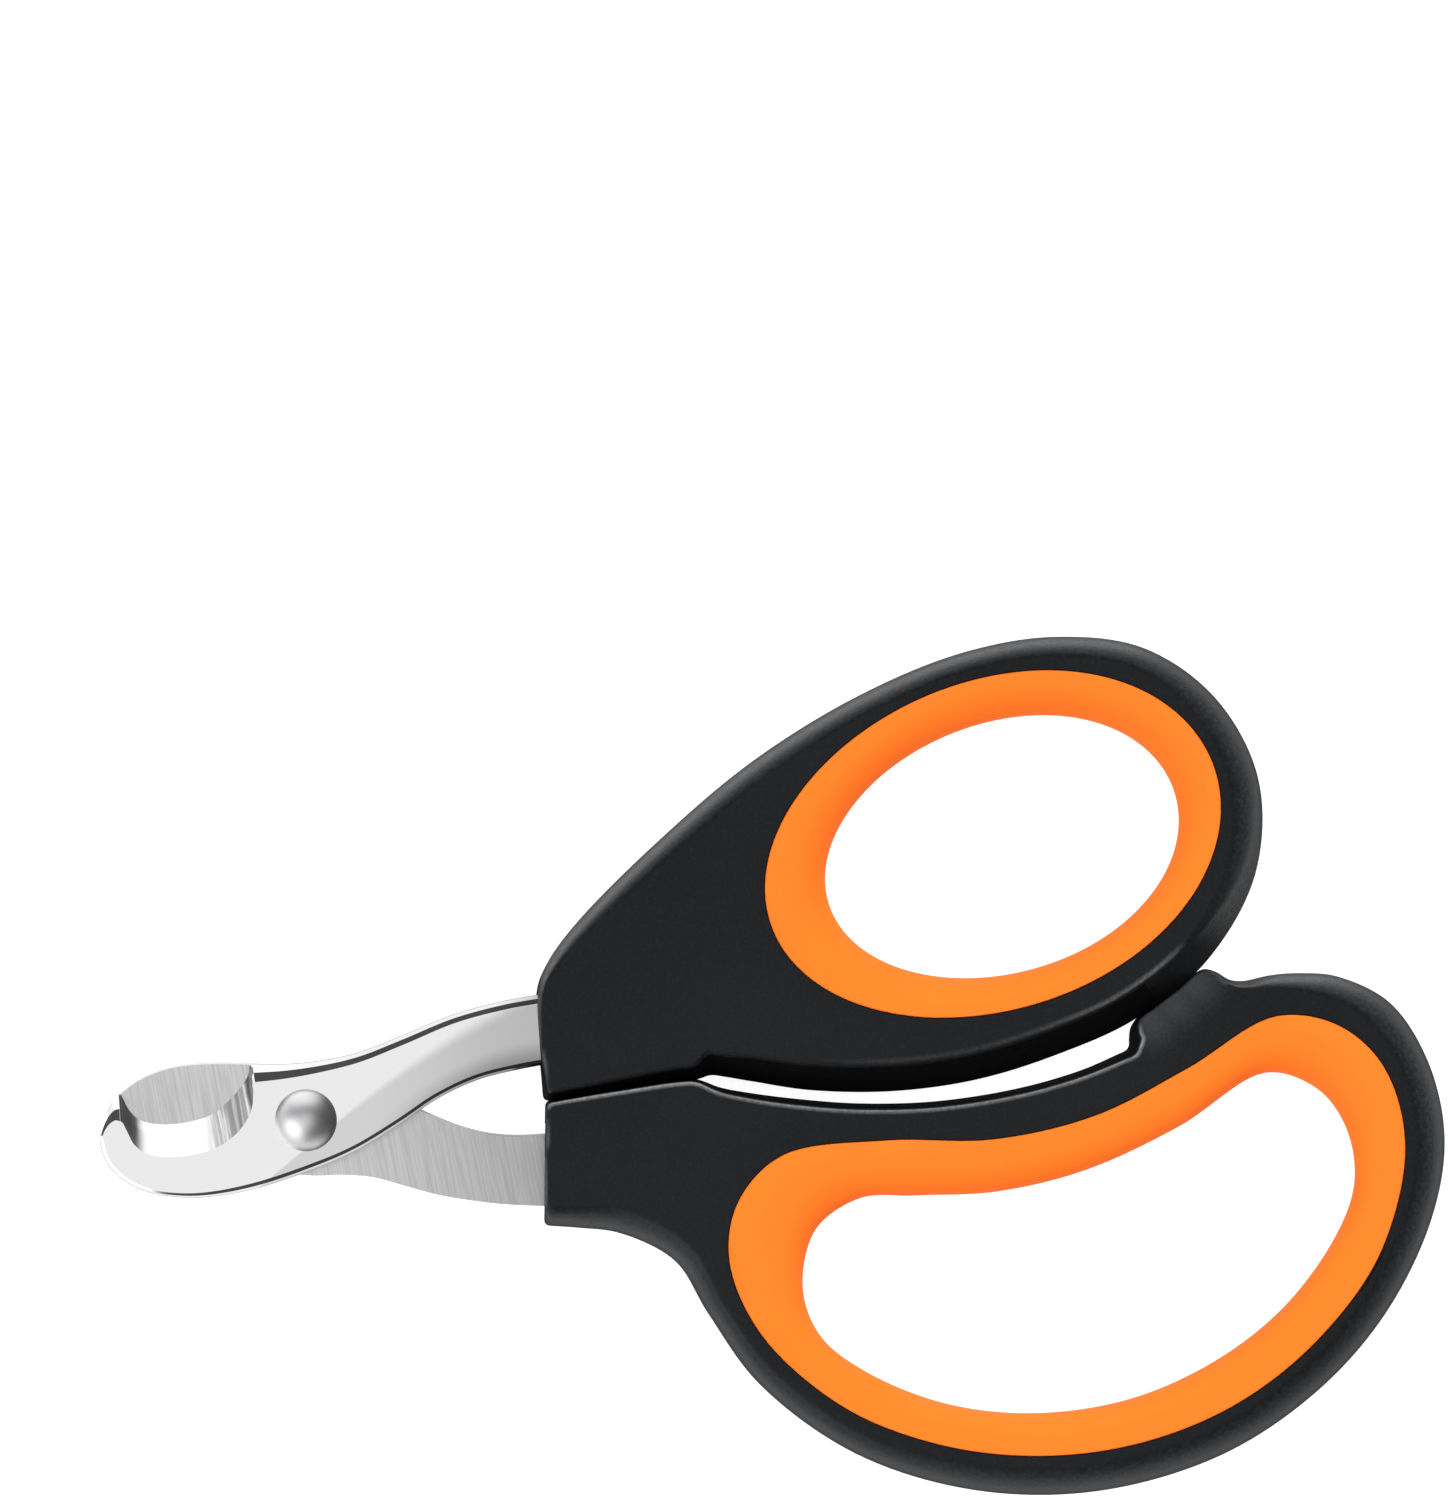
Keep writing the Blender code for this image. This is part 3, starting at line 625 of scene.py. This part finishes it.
def orange_grip():
    """Matte thermoplastic rubber."""
    material, tree, shader = new_material("orange_grip")
    grain = noise(tree, (2.4, 2.4, 2.4), detail=2)
    patches = noise(tree, (0.08, 0.08, 0.08))
    shader.inputs["Specular IOR Level"].default_value = 0.04
    colour = mix_colour(tree, patches, (0.87, 0.178, 0.018), (0.89, 0.192, 0.021))
    tree.links.new(colour, shader.inputs["Base Color"])
    tree.links.new(ramp(tree, grain, 0.3, 0.7, 0.55, 0.7), shader.inputs["Roughness"])
    bump(tree, shader, grain, 0.006)
    return material


def painted_reflection_border(tree, x, y):
    """Share of the painted reflection's darker side, whose border bends and softens away from the
    pivot.
    """
    cos_border = math.cos(REFLECTION_TURN)
    sin_border = math.sin(REFLECTION_TURN)
    along = calculate(tree, 'ADD', calculate(tree, 'MULTIPLY', x, cos_border),
                      calculate(tree, 'MULTIPLY', y, sin_border))
    across = calculate(tree, 'SUBTRACT', calculate(tree, 'MULTIPLY', y, cos_border),
                       calculate(tree, 'MULTIPLY', x, sin_border))
    ahead = calculate(tree, 'MAXIMUM', calculate(tree, 'SUBTRACT', along, REFLECTION_BEND_START), 0)
    bend = calculate(tree, 'MULTIPLY', calculate(tree, 'MULTIPLY', ahead, ahead), REFLECTION_BEND)
    side = calculate(tree, 'ADD', calculate(tree, 'ADD', across, REFLECTION_ASIDE), bend)
    softness = calculate(tree, 'ADD', calculate(tree, 'MULTIPLY', ahead, REFLECTION_SOFTENING),
                         REFLECTION_SOFTNESS)
    return ramp(tree, calculate(tree, 'DIVIDE', side, softness), 1, -1)


def painted_edge_shade(tree, x, y):
    """Share of the painted shade along the thumb blade's lower edge, stronger near the handle."""
    crest_x, crest_y = EDGE_SHADE_CREST
    square = calculate(tree, 'POWER', calculate(tree, 'SUBTRACT', x, crest_x), 2)
    edge = calculate(tree, 'SUBTRACT', crest_y, calculate(tree, 'MULTIPLY', square, EDGE_SHADE_ARC))
    height = calculate(tree, 'SUBTRACT', y, edge)
    share = calculate(tree, 'MULTIPLY', ramp(tree, height, 2.7, 0.3),
                      ramp(tree, height, -0.8, -0.2))
    return calculate(tree, 'MULTIPLY', share, ramp(tree, x, 2, 20, 0, 0.6))


def polished_steel():
    """Polished steel with a painted reflection, a shade darker beyond a diagonal border and more so
    towards the handle, and painted shade along the lower edge.
    """
    material, tree, shader = new_material("polished_steel")
    haze = noise(tree, (0.25, 0.25, 0.25), detail=4)
    x, y = place_in_mm(tree)
    first = mix_colour(tree, haze, (0.655, 0.655, 0.655), (0.675, 0.675, 0.675))
    # painted reflection: the darker side's colour, darker still towards the handle
    second = mix_colour(tree, ramp(tree, x, 4, 26), (0.51, 0.51, 0.51), (0.38, 0.38, 0.38))
    colour = mix_colour(tree, painted_reflection_border(tree, x, y), first, second)
    # painted shade along the lower edge
    colour = mix_colour(tree, painted_edge_shade(tree, x, y), colour, EDGE_SHADE_COLOUR)
    shader.inputs["Metallic"].default_value = 1.0
    tree.links.new(colour, shader.inputs["Base Color"])
    tree.links.new(ramp(tree, haze, 0.3, 0.7, 0.08, 0.12), shader.inputs["Roughness"])
    return material


def satin_steel():
    """Tumbled steel of the pivot."""
    material, tree, shader = new_material("satin_steel")
    haze = noise(tree, (1.5, 1.5, 1.5), detail=3)
    shader.inputs["Metallic"].default_value = 1.0
    colour = mix_colour(tree, haze, (0.58, 0.58, 0.59), (0.61, 0.61, 0.62))
    tree.links.new(colour, shader.inputs["Base Color"])
    shader.inputs["Roughness"].default_value = 0.47
    return material


def brushed_steel():
    """Steel ground with a belt: long fine scratches one way, with painted shade making it darker
    towards the handle.
    """
    material, tree, shader = new_material("brushed_steel")
    fine = noise(tree, (5.0, 0.16, 0.16), detail=5, turn=BRUSH_TURN)
    coarse = noise(tree, (1.6, 0.06, 0.06), detail=2, turn=BRUSH_TURN)
    streaks = calculate(tree, 'ADD', calculate(tree, 'MULTIPLY', fine, 0.72),
                        calculate(tree, 'MULTIPLY', coarse, 0.28))
    x, _ = place_in_mm(tree)
    # painted shade: darker towards the handle
    handle_shade = ramp(tree, x, 2, 24, 1.0, 0.74)
    colour = mix_colour(tree, ramp(tree, streaks, 0.35, 0.65), (0.43, 0.43, 0.43),
                        (0.60, 0.60, 0.60))
    shaded_colour = mix_colour(tree, handle_shade, (0, 0, 0), colour)
    shader.inputs["Metallic"].default_value = 1.0
    tree.links.new(shaded_colour, shader.inputs["Base Color"])
    tree.links.new(ramp(tree, streaks, 0.3, 0.7, 0.28, 0.42), shader.inputs["Roughness"])
    bump(tree, shader, streaks, 0.003)
    return material


def ground_steel():
    """Cutting bevel with grinding marks on its pivot side."""
    material, tree, shader = new_material("ground_steel")
    marks = noise(tree, (3.4, 0.12, 0.12), detail=5, turn=BRUSH_TURN)
    x, _ = place_in_mm(tree)
    depth = calculate(tree, 'MULTIPLY', ramp(tree, x, -10.2, -8.6), ramp(tree, marks, 0.7, 0.42))
    colour = mix_colour(tree, depth, (0.72, 0.72, 0.72), (0.36, 0.36, 0.36))
    shader.inputs["Metallic"].default_value = 1.0
    tree.links.new(colour, shader.inputs["Base Color"])
    shader.inputs["Roughness"].default_value = 0.25
    return material


# ---- pieces ----

def wall_profile(set_back, height, straight):
    """Points (distance in from the edge, rise) from the parting plane up to the flat face."""
    fillet = min(FILLET, set_back)
    shoulder = Vector((set_back - fillet, height))
    bend = shoulder - shoulder.normalized() * fillet
    end = Vector((set_back, height))
    points = []
    for step in range(PROFILE_STEPS + 1):
        angle = math.pi / 2 * step / PROFILE_STEPS
        soft = Vector((set_back * (1 - max(math.cos(angle), 0)), height * math.sin(angle)))
        if step < PLANE_STEPS:
            plane = bend * step / PLANE_STEPS
        else:
            share = (step - PLANE_STEPS) / (PROFILE_STEPS - PLANE_STEPS)
            plane = bezier(bend, shoulder, end, share)
        points.append(soft.lerp(plane, straight))
    points[-1] = end
    return points


def half_shell(name, stretches, up, seat, materials):
    """Top (up is 1) or bottom (up is -1) half of a handle, open where the insert sits.

    materials are those of the faces and of the straight walls; the walls' one is a darker, duller
    copy of the moulding, painted shade.
    """
    loop = outline(stretches, HANDLE_CORNER)
    parting = MIDDLE + up * SEAM / 2
    face_z = MIDDLE + up * MIDDLE
    height = MIDDLE - SEAM / 2
    rings = [[] for _ in range(PROFILE_STEPS + 2)]
    for x, y, face_x, face_y, straight in loop:
        edge = Vector((x, y))
        if up > 0:
            edge += LAP * straight
        run = Vector((face_x, face_y)) - edge
        direction = run.normalized()
        start = edge + direction * SEAM_BEVEL
        rings[0].append(Vector((start.x, start.y, parting)))
        for level, point in enumerate(wall_profile(run.length, height, straight)):
            spot = edge + direction * point.x
            rise = max(point.y, SEAM_BEVEL)
            rings[level + 1].append(Vector((spot.x, spot.y, parting + up * rise)))
    face_loop = [Vector(row[2:4]) for row in loop]
    rings.append(flat_ring(offset(face_loop, SUPPORT), face_z))
    bm = bmesh.new()
    # the first layer is a painted highlight along the edges, the second painted shade on the walls
    # near WALL_END
    edge_highlight = bm.verts.layers.float.new("edge_highlight")
    shade = bm.verts.layers.float.new("shade")
    outer = [ring_of(bm, ring) for ring in rings]
    for level, ring in enumerate(outer):
        crisp = HIGHLIGHT_BY_LEVEL.get(len(outer) - 1 - level, 0)
        soft = SOFT_HIGHLIGHT * math.sin(math.pi * min(level / PROFILE_STEPS, 1))
        for vert, (x, _, _, _, straight) in zip(ring, loop):
            highlit = max(straight - HIGHLIGHT_FROM, 0) / (1 - HIGHLIGHT_FROM)
            vert[edge_highlight] = max(crisp * highlit, soft * (1 - straight))
            # painted shade on the walls, fading away from WALL_END
            if level < WALL_LEVELS and x > WALL_END and straight > SHADED_FROM:
                vert[shade] = max(1 - (x - WALL_END) / WALL_FADE, 0)
    # straight walls short of WALL_END take the darker, duller copy of the moulding: painted shade
    for band in skin(bm, outer)[:WALL_LEVELS]:
        for i, face in enumerate(band):
            if min(loop[i][4], loop[i - 1][4]) > WALL_FROM and loop[i][0] < WALL_END:
                face.material_index = 1
    wall = offset(seat, -JOINT)
    groove = offset(seat, -TONGUE_REACH - JOINT)
    groove_z = MIDDLE + up * (TONGUE_HALF + JOINT)
    inner = [ring_of(bm, flat_ring(points, z)) for points, z in (
        (offset(seat, -SUPPORT), face_z), (offset(seat, -RIM), face_z),
        (wall, face_z - up * RIM), (wall, groove_z), (groove, groove_z), (groove, parting))]
    skin(bm, inner)
    fill(bm, outer[-1], inner[0])
    fill(bm, outer[0], inner[-1])
    return link_mesh(bm, name, materials)


def clamp_tang(holder, keeper, pocket, hole, up, blade_outer):
    """Pocket in the shell that holds the tang, and the other shell's pin through the tang."""
    far = blade_outer + up * PIN_GAP
    near = MIDDLE - up * POCKET_START
    low, high = sorted((near, far))
    combine(holder, prism(holder.name + "_pocket", slot_outline(*pocket), low, high))
    socket_end = far + up * SOCKET_DEPTH
    low, high = sorted((near, socket_end))
    combine(holder, cylinder(holder.name + "_socket", hole, PIN_RADIUS + PIN_GAP, low, high))
    low, high = sorted((MIDDLE - up * PIN_ROOT, socket_end - up * PIN_GAP))
    combine(keeper, cylinder(keeper.name + "_pin", hole, PIN_RADIUS, low, high), 'UNION')


def insert(name, seat, opening, fullness, material):
    """Soft lining: flush with the faces at its outer edge, and rounded into the hole."""
    wall = offset(seat, JOINT)
    tongue = offset(seat, -TONGUE_REACH)
    half = []
    for step in range(PROFILE_STEPS + 1):
        angle = math.pi / 2 * step / PROFILE_STEPS
        rise = math.cos(angle) ** (2 / fullness)
        lean = math.sin(angle) ** (2 / fullness)
        half.append((lean, MIDDLE * rise))
    half[0] = (RIM_LEAN, MIDDLE)
    half[-1] = (1, 0)
    half.insert(0, (0, MIDDLE - RIM))
    bm = bmesh.new()
    rings = []
    for lean, rise in half + [(lean, -rise) for lean, rise in reversed(half[:-1])]:
        points = [a.lerp(b, lean) for a, b in zip(wall, opening)]
        rings.append(ring_of(bm, flat_ring(points, MIDDLE + rise)))
    for loop, z in ((wall, MIDDLE - TONGUE_HALF), (tongue, MIDDLE - TONGUE_HALF),
                    (tongue, MIDDLE + TONGUE_HALF), (wall, MIDDLE + TONGUE_HALF)):
        rings.append(ring_of(bm, flat_ring(loop, z)))
    skin(bm, rings + rings[:1])
    return finish_mesh(link_mesh(bm, name, [material]), sharp_angle=40)


def blade(name, stretches, ground, mating, outer, hole, materials):
    """Blade from its mating face out to its bevelled outer face.

    materials are those of the outer face and bevels, of the mating face and of the ground edge.
    """
    loop = blade_outline(stretches, ground)
    up = 1 if outer > mating else -1
    thickness = abs(outer - mating)
    rings = [[] for _ in GROUND_RISE]
    for x, y, face_x, face_y, ground_share in loop:
        edge = Vector((x, y))
        run = Vector((face_x, face_y)) - edge
        steep = STEEP_SHARE + WIDE_GAIN * max(run.length - WIDE_BEVEL, 0)
        drop = run.length * (1 - steep) * SOFT_BEVEL
        side = max(thickness - drop - run.length * steep * STEEP_BEVEL, LEAST_SIDE)
        chamfer = MATING_CHAMFER / max(run.length, MATING_CHAMFER)
        bevelled = ((chamfer, 0), (0, MATING_CHAMFER), (0, side - 4 * BROKEN_EDGE),
                    (BROKEN_EDGE / run.length, side), (steep, thickness - drop), (1, thickness))
        for ring, (lean, rise), step in zip(rings, bevelled, GROUND_RISE):
            lean += (step - lean) * ground_share
            rise += (step * thickness - rise) * ground_share
            spot = edge + run * lean
            ring.append(Vector((spot.x, spot.y, mating + up * rise)))
    bm = bmesh.new()
    made = [ring_of(bm, ring) for ring in rings]
    for band in skin(bm, made):
        for i, face in enumerate(band):
            if loop[i][4] > 0.5 and loop[i - 1][4] > 0.5:
                face.material_index = 2
    for face in fill(bm, made[0]):
        face.material_index = 1
    fill(bm, made[-1])
    piece = link_mesh(bm, name, materials)
    combine(piece, cylinder(name + "_bore", (0, 0), BARREL_RADIUS + PIVOT_GAP, *THROUGH))
    combine(piece, cylinder(name + "_tang_hole", hole, PIN_RADIUS + PIN_GAP, *THROUGH))
    return finish_mesh(piece, sharp_angle=10)


def turned(name, profile, material):
    """Turned solid from (radius, z) points that run down its outer side from the axis."""
    mesh = bpy.data.meshes.new(name)
    points = [(radius * MM, 0, z * MM) for radius, z in profile]
    mesh.from_pydata(points, [(i, i + 1) for i in range(len(points) - 1)], [])
    mesh.materials.append(material)
    piece = bpy.data.objects.new(name, mesh)
    bpy.context.scene.collection.objects.link(piece)
    piece.location = PIVOT
    screw = piece.modifiers.new("turn", 'SCREW')
    screw.steps = ROUND_SIDES
    screw.render_steps = ROUND_SIDES
    screw.use_merge_vertices = True
    screw.merge_threshold = 0.001 * MM
    return piece


def pivot_nut(material):
    """Sleeve nut: a domed head on the thumb blade and a barrel through both blades."""
    seat = THUMB_BLADE_HIGH + PIVOT_GAP
    height = NUT_TOP - seat
    crown = (DOME_RADIUS ** 2 + height ** 2) / (2 * height)
    spread = math.asin(DOME_RADIUS / crown)
    bore = SHANK_RADIUS + PIVOT_GAP
    bore_end = seat - PIVOT_GAP
    profile = [(0, NUT_TOP)]
    for step in range(1, DOME_STEPS + 1):
        angle = spread * step / DOME_STEPS
        profile.append((crown * math.sin(angle), NUT_TOP - crown * (1 - math.cos(angle))))
    profile += [(DOME_RADIUS - DOME_LIP, seat), (BARREL_RADIUS, seat),
                (BARREL_RADIUS, FINGER_BLADE_LOW), (bore, FINGER_BLADE_LOW),
                (bore, bore_end), (0, bore_end)]
    return finish_mesh(turned("rivet_nut", profile, material))


def pivot_screw(material):
    """Pan-head screw from below, with a cross recess, its shank up inside the nut."""
    seat = FINGER_BLADE_LOW - PIVOT_GAP
    shank_end = THUMB_BLADE_HIGH - SHANK_STOP
    profile = [(0, shank_end), (SHANK_RADIUS - SHANK_CHAMFER, shank_end),
               (SHANK_RADIUS, shank_end - SHANK_CHAMFER), (SHANK_RADIUS, seat),
               (SCREW_HEAD_RADIUS - HEAD_LIP, seat)]
    for step in range(HEAD_STEPS + 1):
        angle = math.pi / 2 * step / HEAD_STEPS
        profile.append((SCREW_HEAD_RADIUS - HEAD_ROUND * (1 - math.cos(angle)),
                        SCREW_BASE + HEAD_ROUND * (1 - math.sin(angle))))
    profile.append((0, SCREW_BASE))
    piece = turned("cross_screw", profile, material)
    for turn in (0, math.pi / 2):
        bm = bmesh.new()
        bmesh.ops.create_cube(bm, size=1)
        for vert in bm.verts:
            at_mouth = vert.co.z < 0
            length, width = RECESS_MOUTH if at_mouth else RECESS_FLOOR
            vert.co.x *= length
            vert.co.y *= width
            vert.co.z = SCREW_BASE + (-RECESS_START if at_mouth else RECESS_DEPTH)
        bmesh.ops.rotate(bm, verts=bm.verts, matrix=Matrix.Rotation(turn, 3, 'Z'))
        combine(piece, link_mesh(bm, "recess", []))
    return finish_mesh(piece)


# ---- studio ----

def light_band(tree, axes, azimuth, width, low, high, radiance):
    """Bright patch of sky, given as a row of LIGHT_BANDS."""
    azimuth = math.radians(azimuth)
    across = calculate(tree, 'ADD',
                       calculate(tree, 'MULTIPLY', axes.outputs["X"], math.cos(azimuth)),
                       calculate(tree, 'MULTIPLY', axes.outputs["Y"], math.sin(azimuth)))
    level = calculate(tree, 'MULTIPLY', axes.outputs["Z"], axes.outputs["Z"])
    level = calculate(tree, 'SQRT', calculate(tree, 'SUBTRACT', 1.0001, level))
    facing = calculate(tree, 'DIVIDE', across, level)
    edge = math.cos(math.radians(width))
    share = ramp(tree, facing, edge - BAND_SOFTNESS, edge + BAND_SOFTNESS)
    for border, inside in ((low, low + BAND_FADE), (high, high - BAND_FADE)):
        share = calculate(tree, 'MULTIPLY', share, ramp(tree, axes.outputs["Z"], border, inside))
    return calculate(tree, 'MULTIPLY', share, radiance)


def studio_world():
    """Soft studio: a box overhead, the light bands and a dim room between them."""
    world = bpy.data.worlds.new("studio")
    bpy.context.scene.world = world
    world.use_nodes = True
    tree = world.node_tree
    axes = tree.nodes.new("ShaderNodeSeparateXYZ")
    tree.links.new(tree.nodes.new("ShaderNodeTexCoord").outputs["Generated"], axes.inputs[0])
    border, inside, radiance = OVERHEAD
    lights = [ramp(tree, axes.outputs["Z"], border, inside, 0.0, radiance)]
    lights += [light_band(tree, axes, *row) for row in LIGHT_BANDS]
    total = AMBIENT
    for light in lights:
        total = calculate(tree, 'MAXIMUM', light, total)
    background = tree.nodes["Background"]
    background.inputs["Color"].default_value = (1, 1, 1, 1)
    tree.links.new(total, background.inputs["Strength"])


def pale_floor():
    """Backlit white table under the object."""
    material, tree, shader = new_material("white_table")
    soft = noise(tree, (0.002, 0.002, 0.002))
    colour = mix_colour(tree, soft, (0.34, 0.34, 0.34), (0.36, 0.36, 0.36))
    tree.links.new(colour, shader.inputs["Base Color"])
    shader.inputs["Roughness"].default_value = 0.8
    shader.inputs["Specular IOR Level"].default_value = 0.0
    shader.inputs["Emission Color"].default_value = (1, 1, 1, 1)
    shader.inputs["Emission Strength"].default_value = 0.93
    bpy.ops.mesh.primitive_plane_add(size=30, location=(0, 0, -TABLE_DROP * MM))
    floor = bpy.context.object
    floor.name = "table"
    floor.data.materials.append(material)
    floor.visible_glossy = False


def fill_light():
    """Broad light from above and one side, kept out of the reflections."""
    light = bpy.data.lights.new("fill", 'SUN')
    light.angle = math.radians(80)
    light.energy = 2.9
    lamp = bpy.data.objects.new("fill", light)
    bpy.context.scene.collection.objects.link(lamp)
    lamp.rotation_euler = (math.radians(-50), 0, math.radians(-50))
    lamp.visible_glossy = False


def make_camera():
    """Straight down from far away and turned a little, as a catalogue picture is taken."""
    camera = bpy.data.cameras.new("camera")
    camera.sensor_width = 36
    camera.lens = camera.sensor_width * CAMERA_DISTANCE / FRAME_HEIGHT
    camera.clip_start = 0.1
    camera.clip_end = 20
    viewer = bpy.data.objects.new("camera", camera)
    bpy.context.scene.collection.objects.link(viewer)
    viewer.location = (*CAMERA_AIM, CAMERA_DISTANCE + MIDDLE * MM)
    viewer.rotation_euler = (0, 0, CAMERA_TURN)
    bpy.context.scene.camera = viewer


# ---- build ----

shell_materials = (black_plastic(), black_wall_painted_shade())
orange = orange_grip()
polished = polished_steel()
satin = satin_steel()
brushed = brushed_steel()
ground = ground_steel()

thumb_seat = egg(THUMB_SEAT, THUMB_STATIONS)
thumb_hole = egg(THUMB_OPENING, THUMB_STATIONS)
finger_rows = spline(FINGER_OPENING, SPLINE_STEPS, closed=True)
finger_seat = [Vector(row[:2]) for row in finger_rows]
finger_hole = [Vector(row[2:]) for row in finger_rows]

thumb_steel = blade("upper_blade", THUMB_BLADE, THUMB_GROUND, THUMB_BLADE_LOW,
                    THUMB_BLADE_HIGH, THUMB_TANG_HOLE, (polished, brushed, ground))
place(thumb_steel, "thumb_side", "thumb_blade")
finger_steel = blade("lower_blade", FINGER_BLADE, FINGER_GROUND, FINGER_BLADE_HIGH,
                     FINGER_BLADE_LOW, FINGER_TANG_HOLE, (polished, brushed, ground))
place(finger_steel, "finger_side", "finger_blade")
place(pivot_nut(satin), "finger_side", "pivot_nut")
place(pivot_screw(satin), "finger_side", "pivot_screw")

thumb_top = half_shell("thumb_shell_upper", THUMB_HANDLE, 1, thumb_seat, shell_materials)
thumb_bottom = half_shell("thumb_shell_lower", THUMB_HANDLE, -1, thumb_seat, shell_materials)
finger_top = half_shell("finger_shell_upper", FINGER_HANDLE, 1, finger_seat, shell_materials)
finger_bottom = half_shell("finger_shell_lower", FINGER_HANDLE, -1, finger_seat, shell_materials)
clamp_tang(thumb_top, thumb_bottom, THUMB_POCKET, THUMB_TANG_HOLE, 1, THUMB_BLADE_HIGH)
clamp_tang(finger_bottom, finger_top, FINGER_POCKET, FINGER_TANG_HOLE, -1, FINGER_BLADE_LOW)
for shell, body, node in ((thumb_top, "thumb_side", "thumb_handle_top"),
                          (thumb_bottom, "thumb_side", "thumb_handle_bottom"),
                          (finger_top, "finger_side", "finger_handle_top"),
                          (finger_bottom, "finger_side", "finger_handle_bottom")):
    place(finish_mesh(shell), body, node)

place(insert("thumb_grip", thumb_seat, thumb_hole, THUMB_FULLNESS, orange),
      "thumb_side", "thumb_grip_insert")
place(insert("finger_grip", finger_seat, finger_hole, FINGER_FULLNESS, orange),
      "finger_side", "finger_grip_insert")

studio_world()
pale_floor()
fill_light()
make_camera()
bpy.context.scene.view_settings.view_transform = 'Standard'
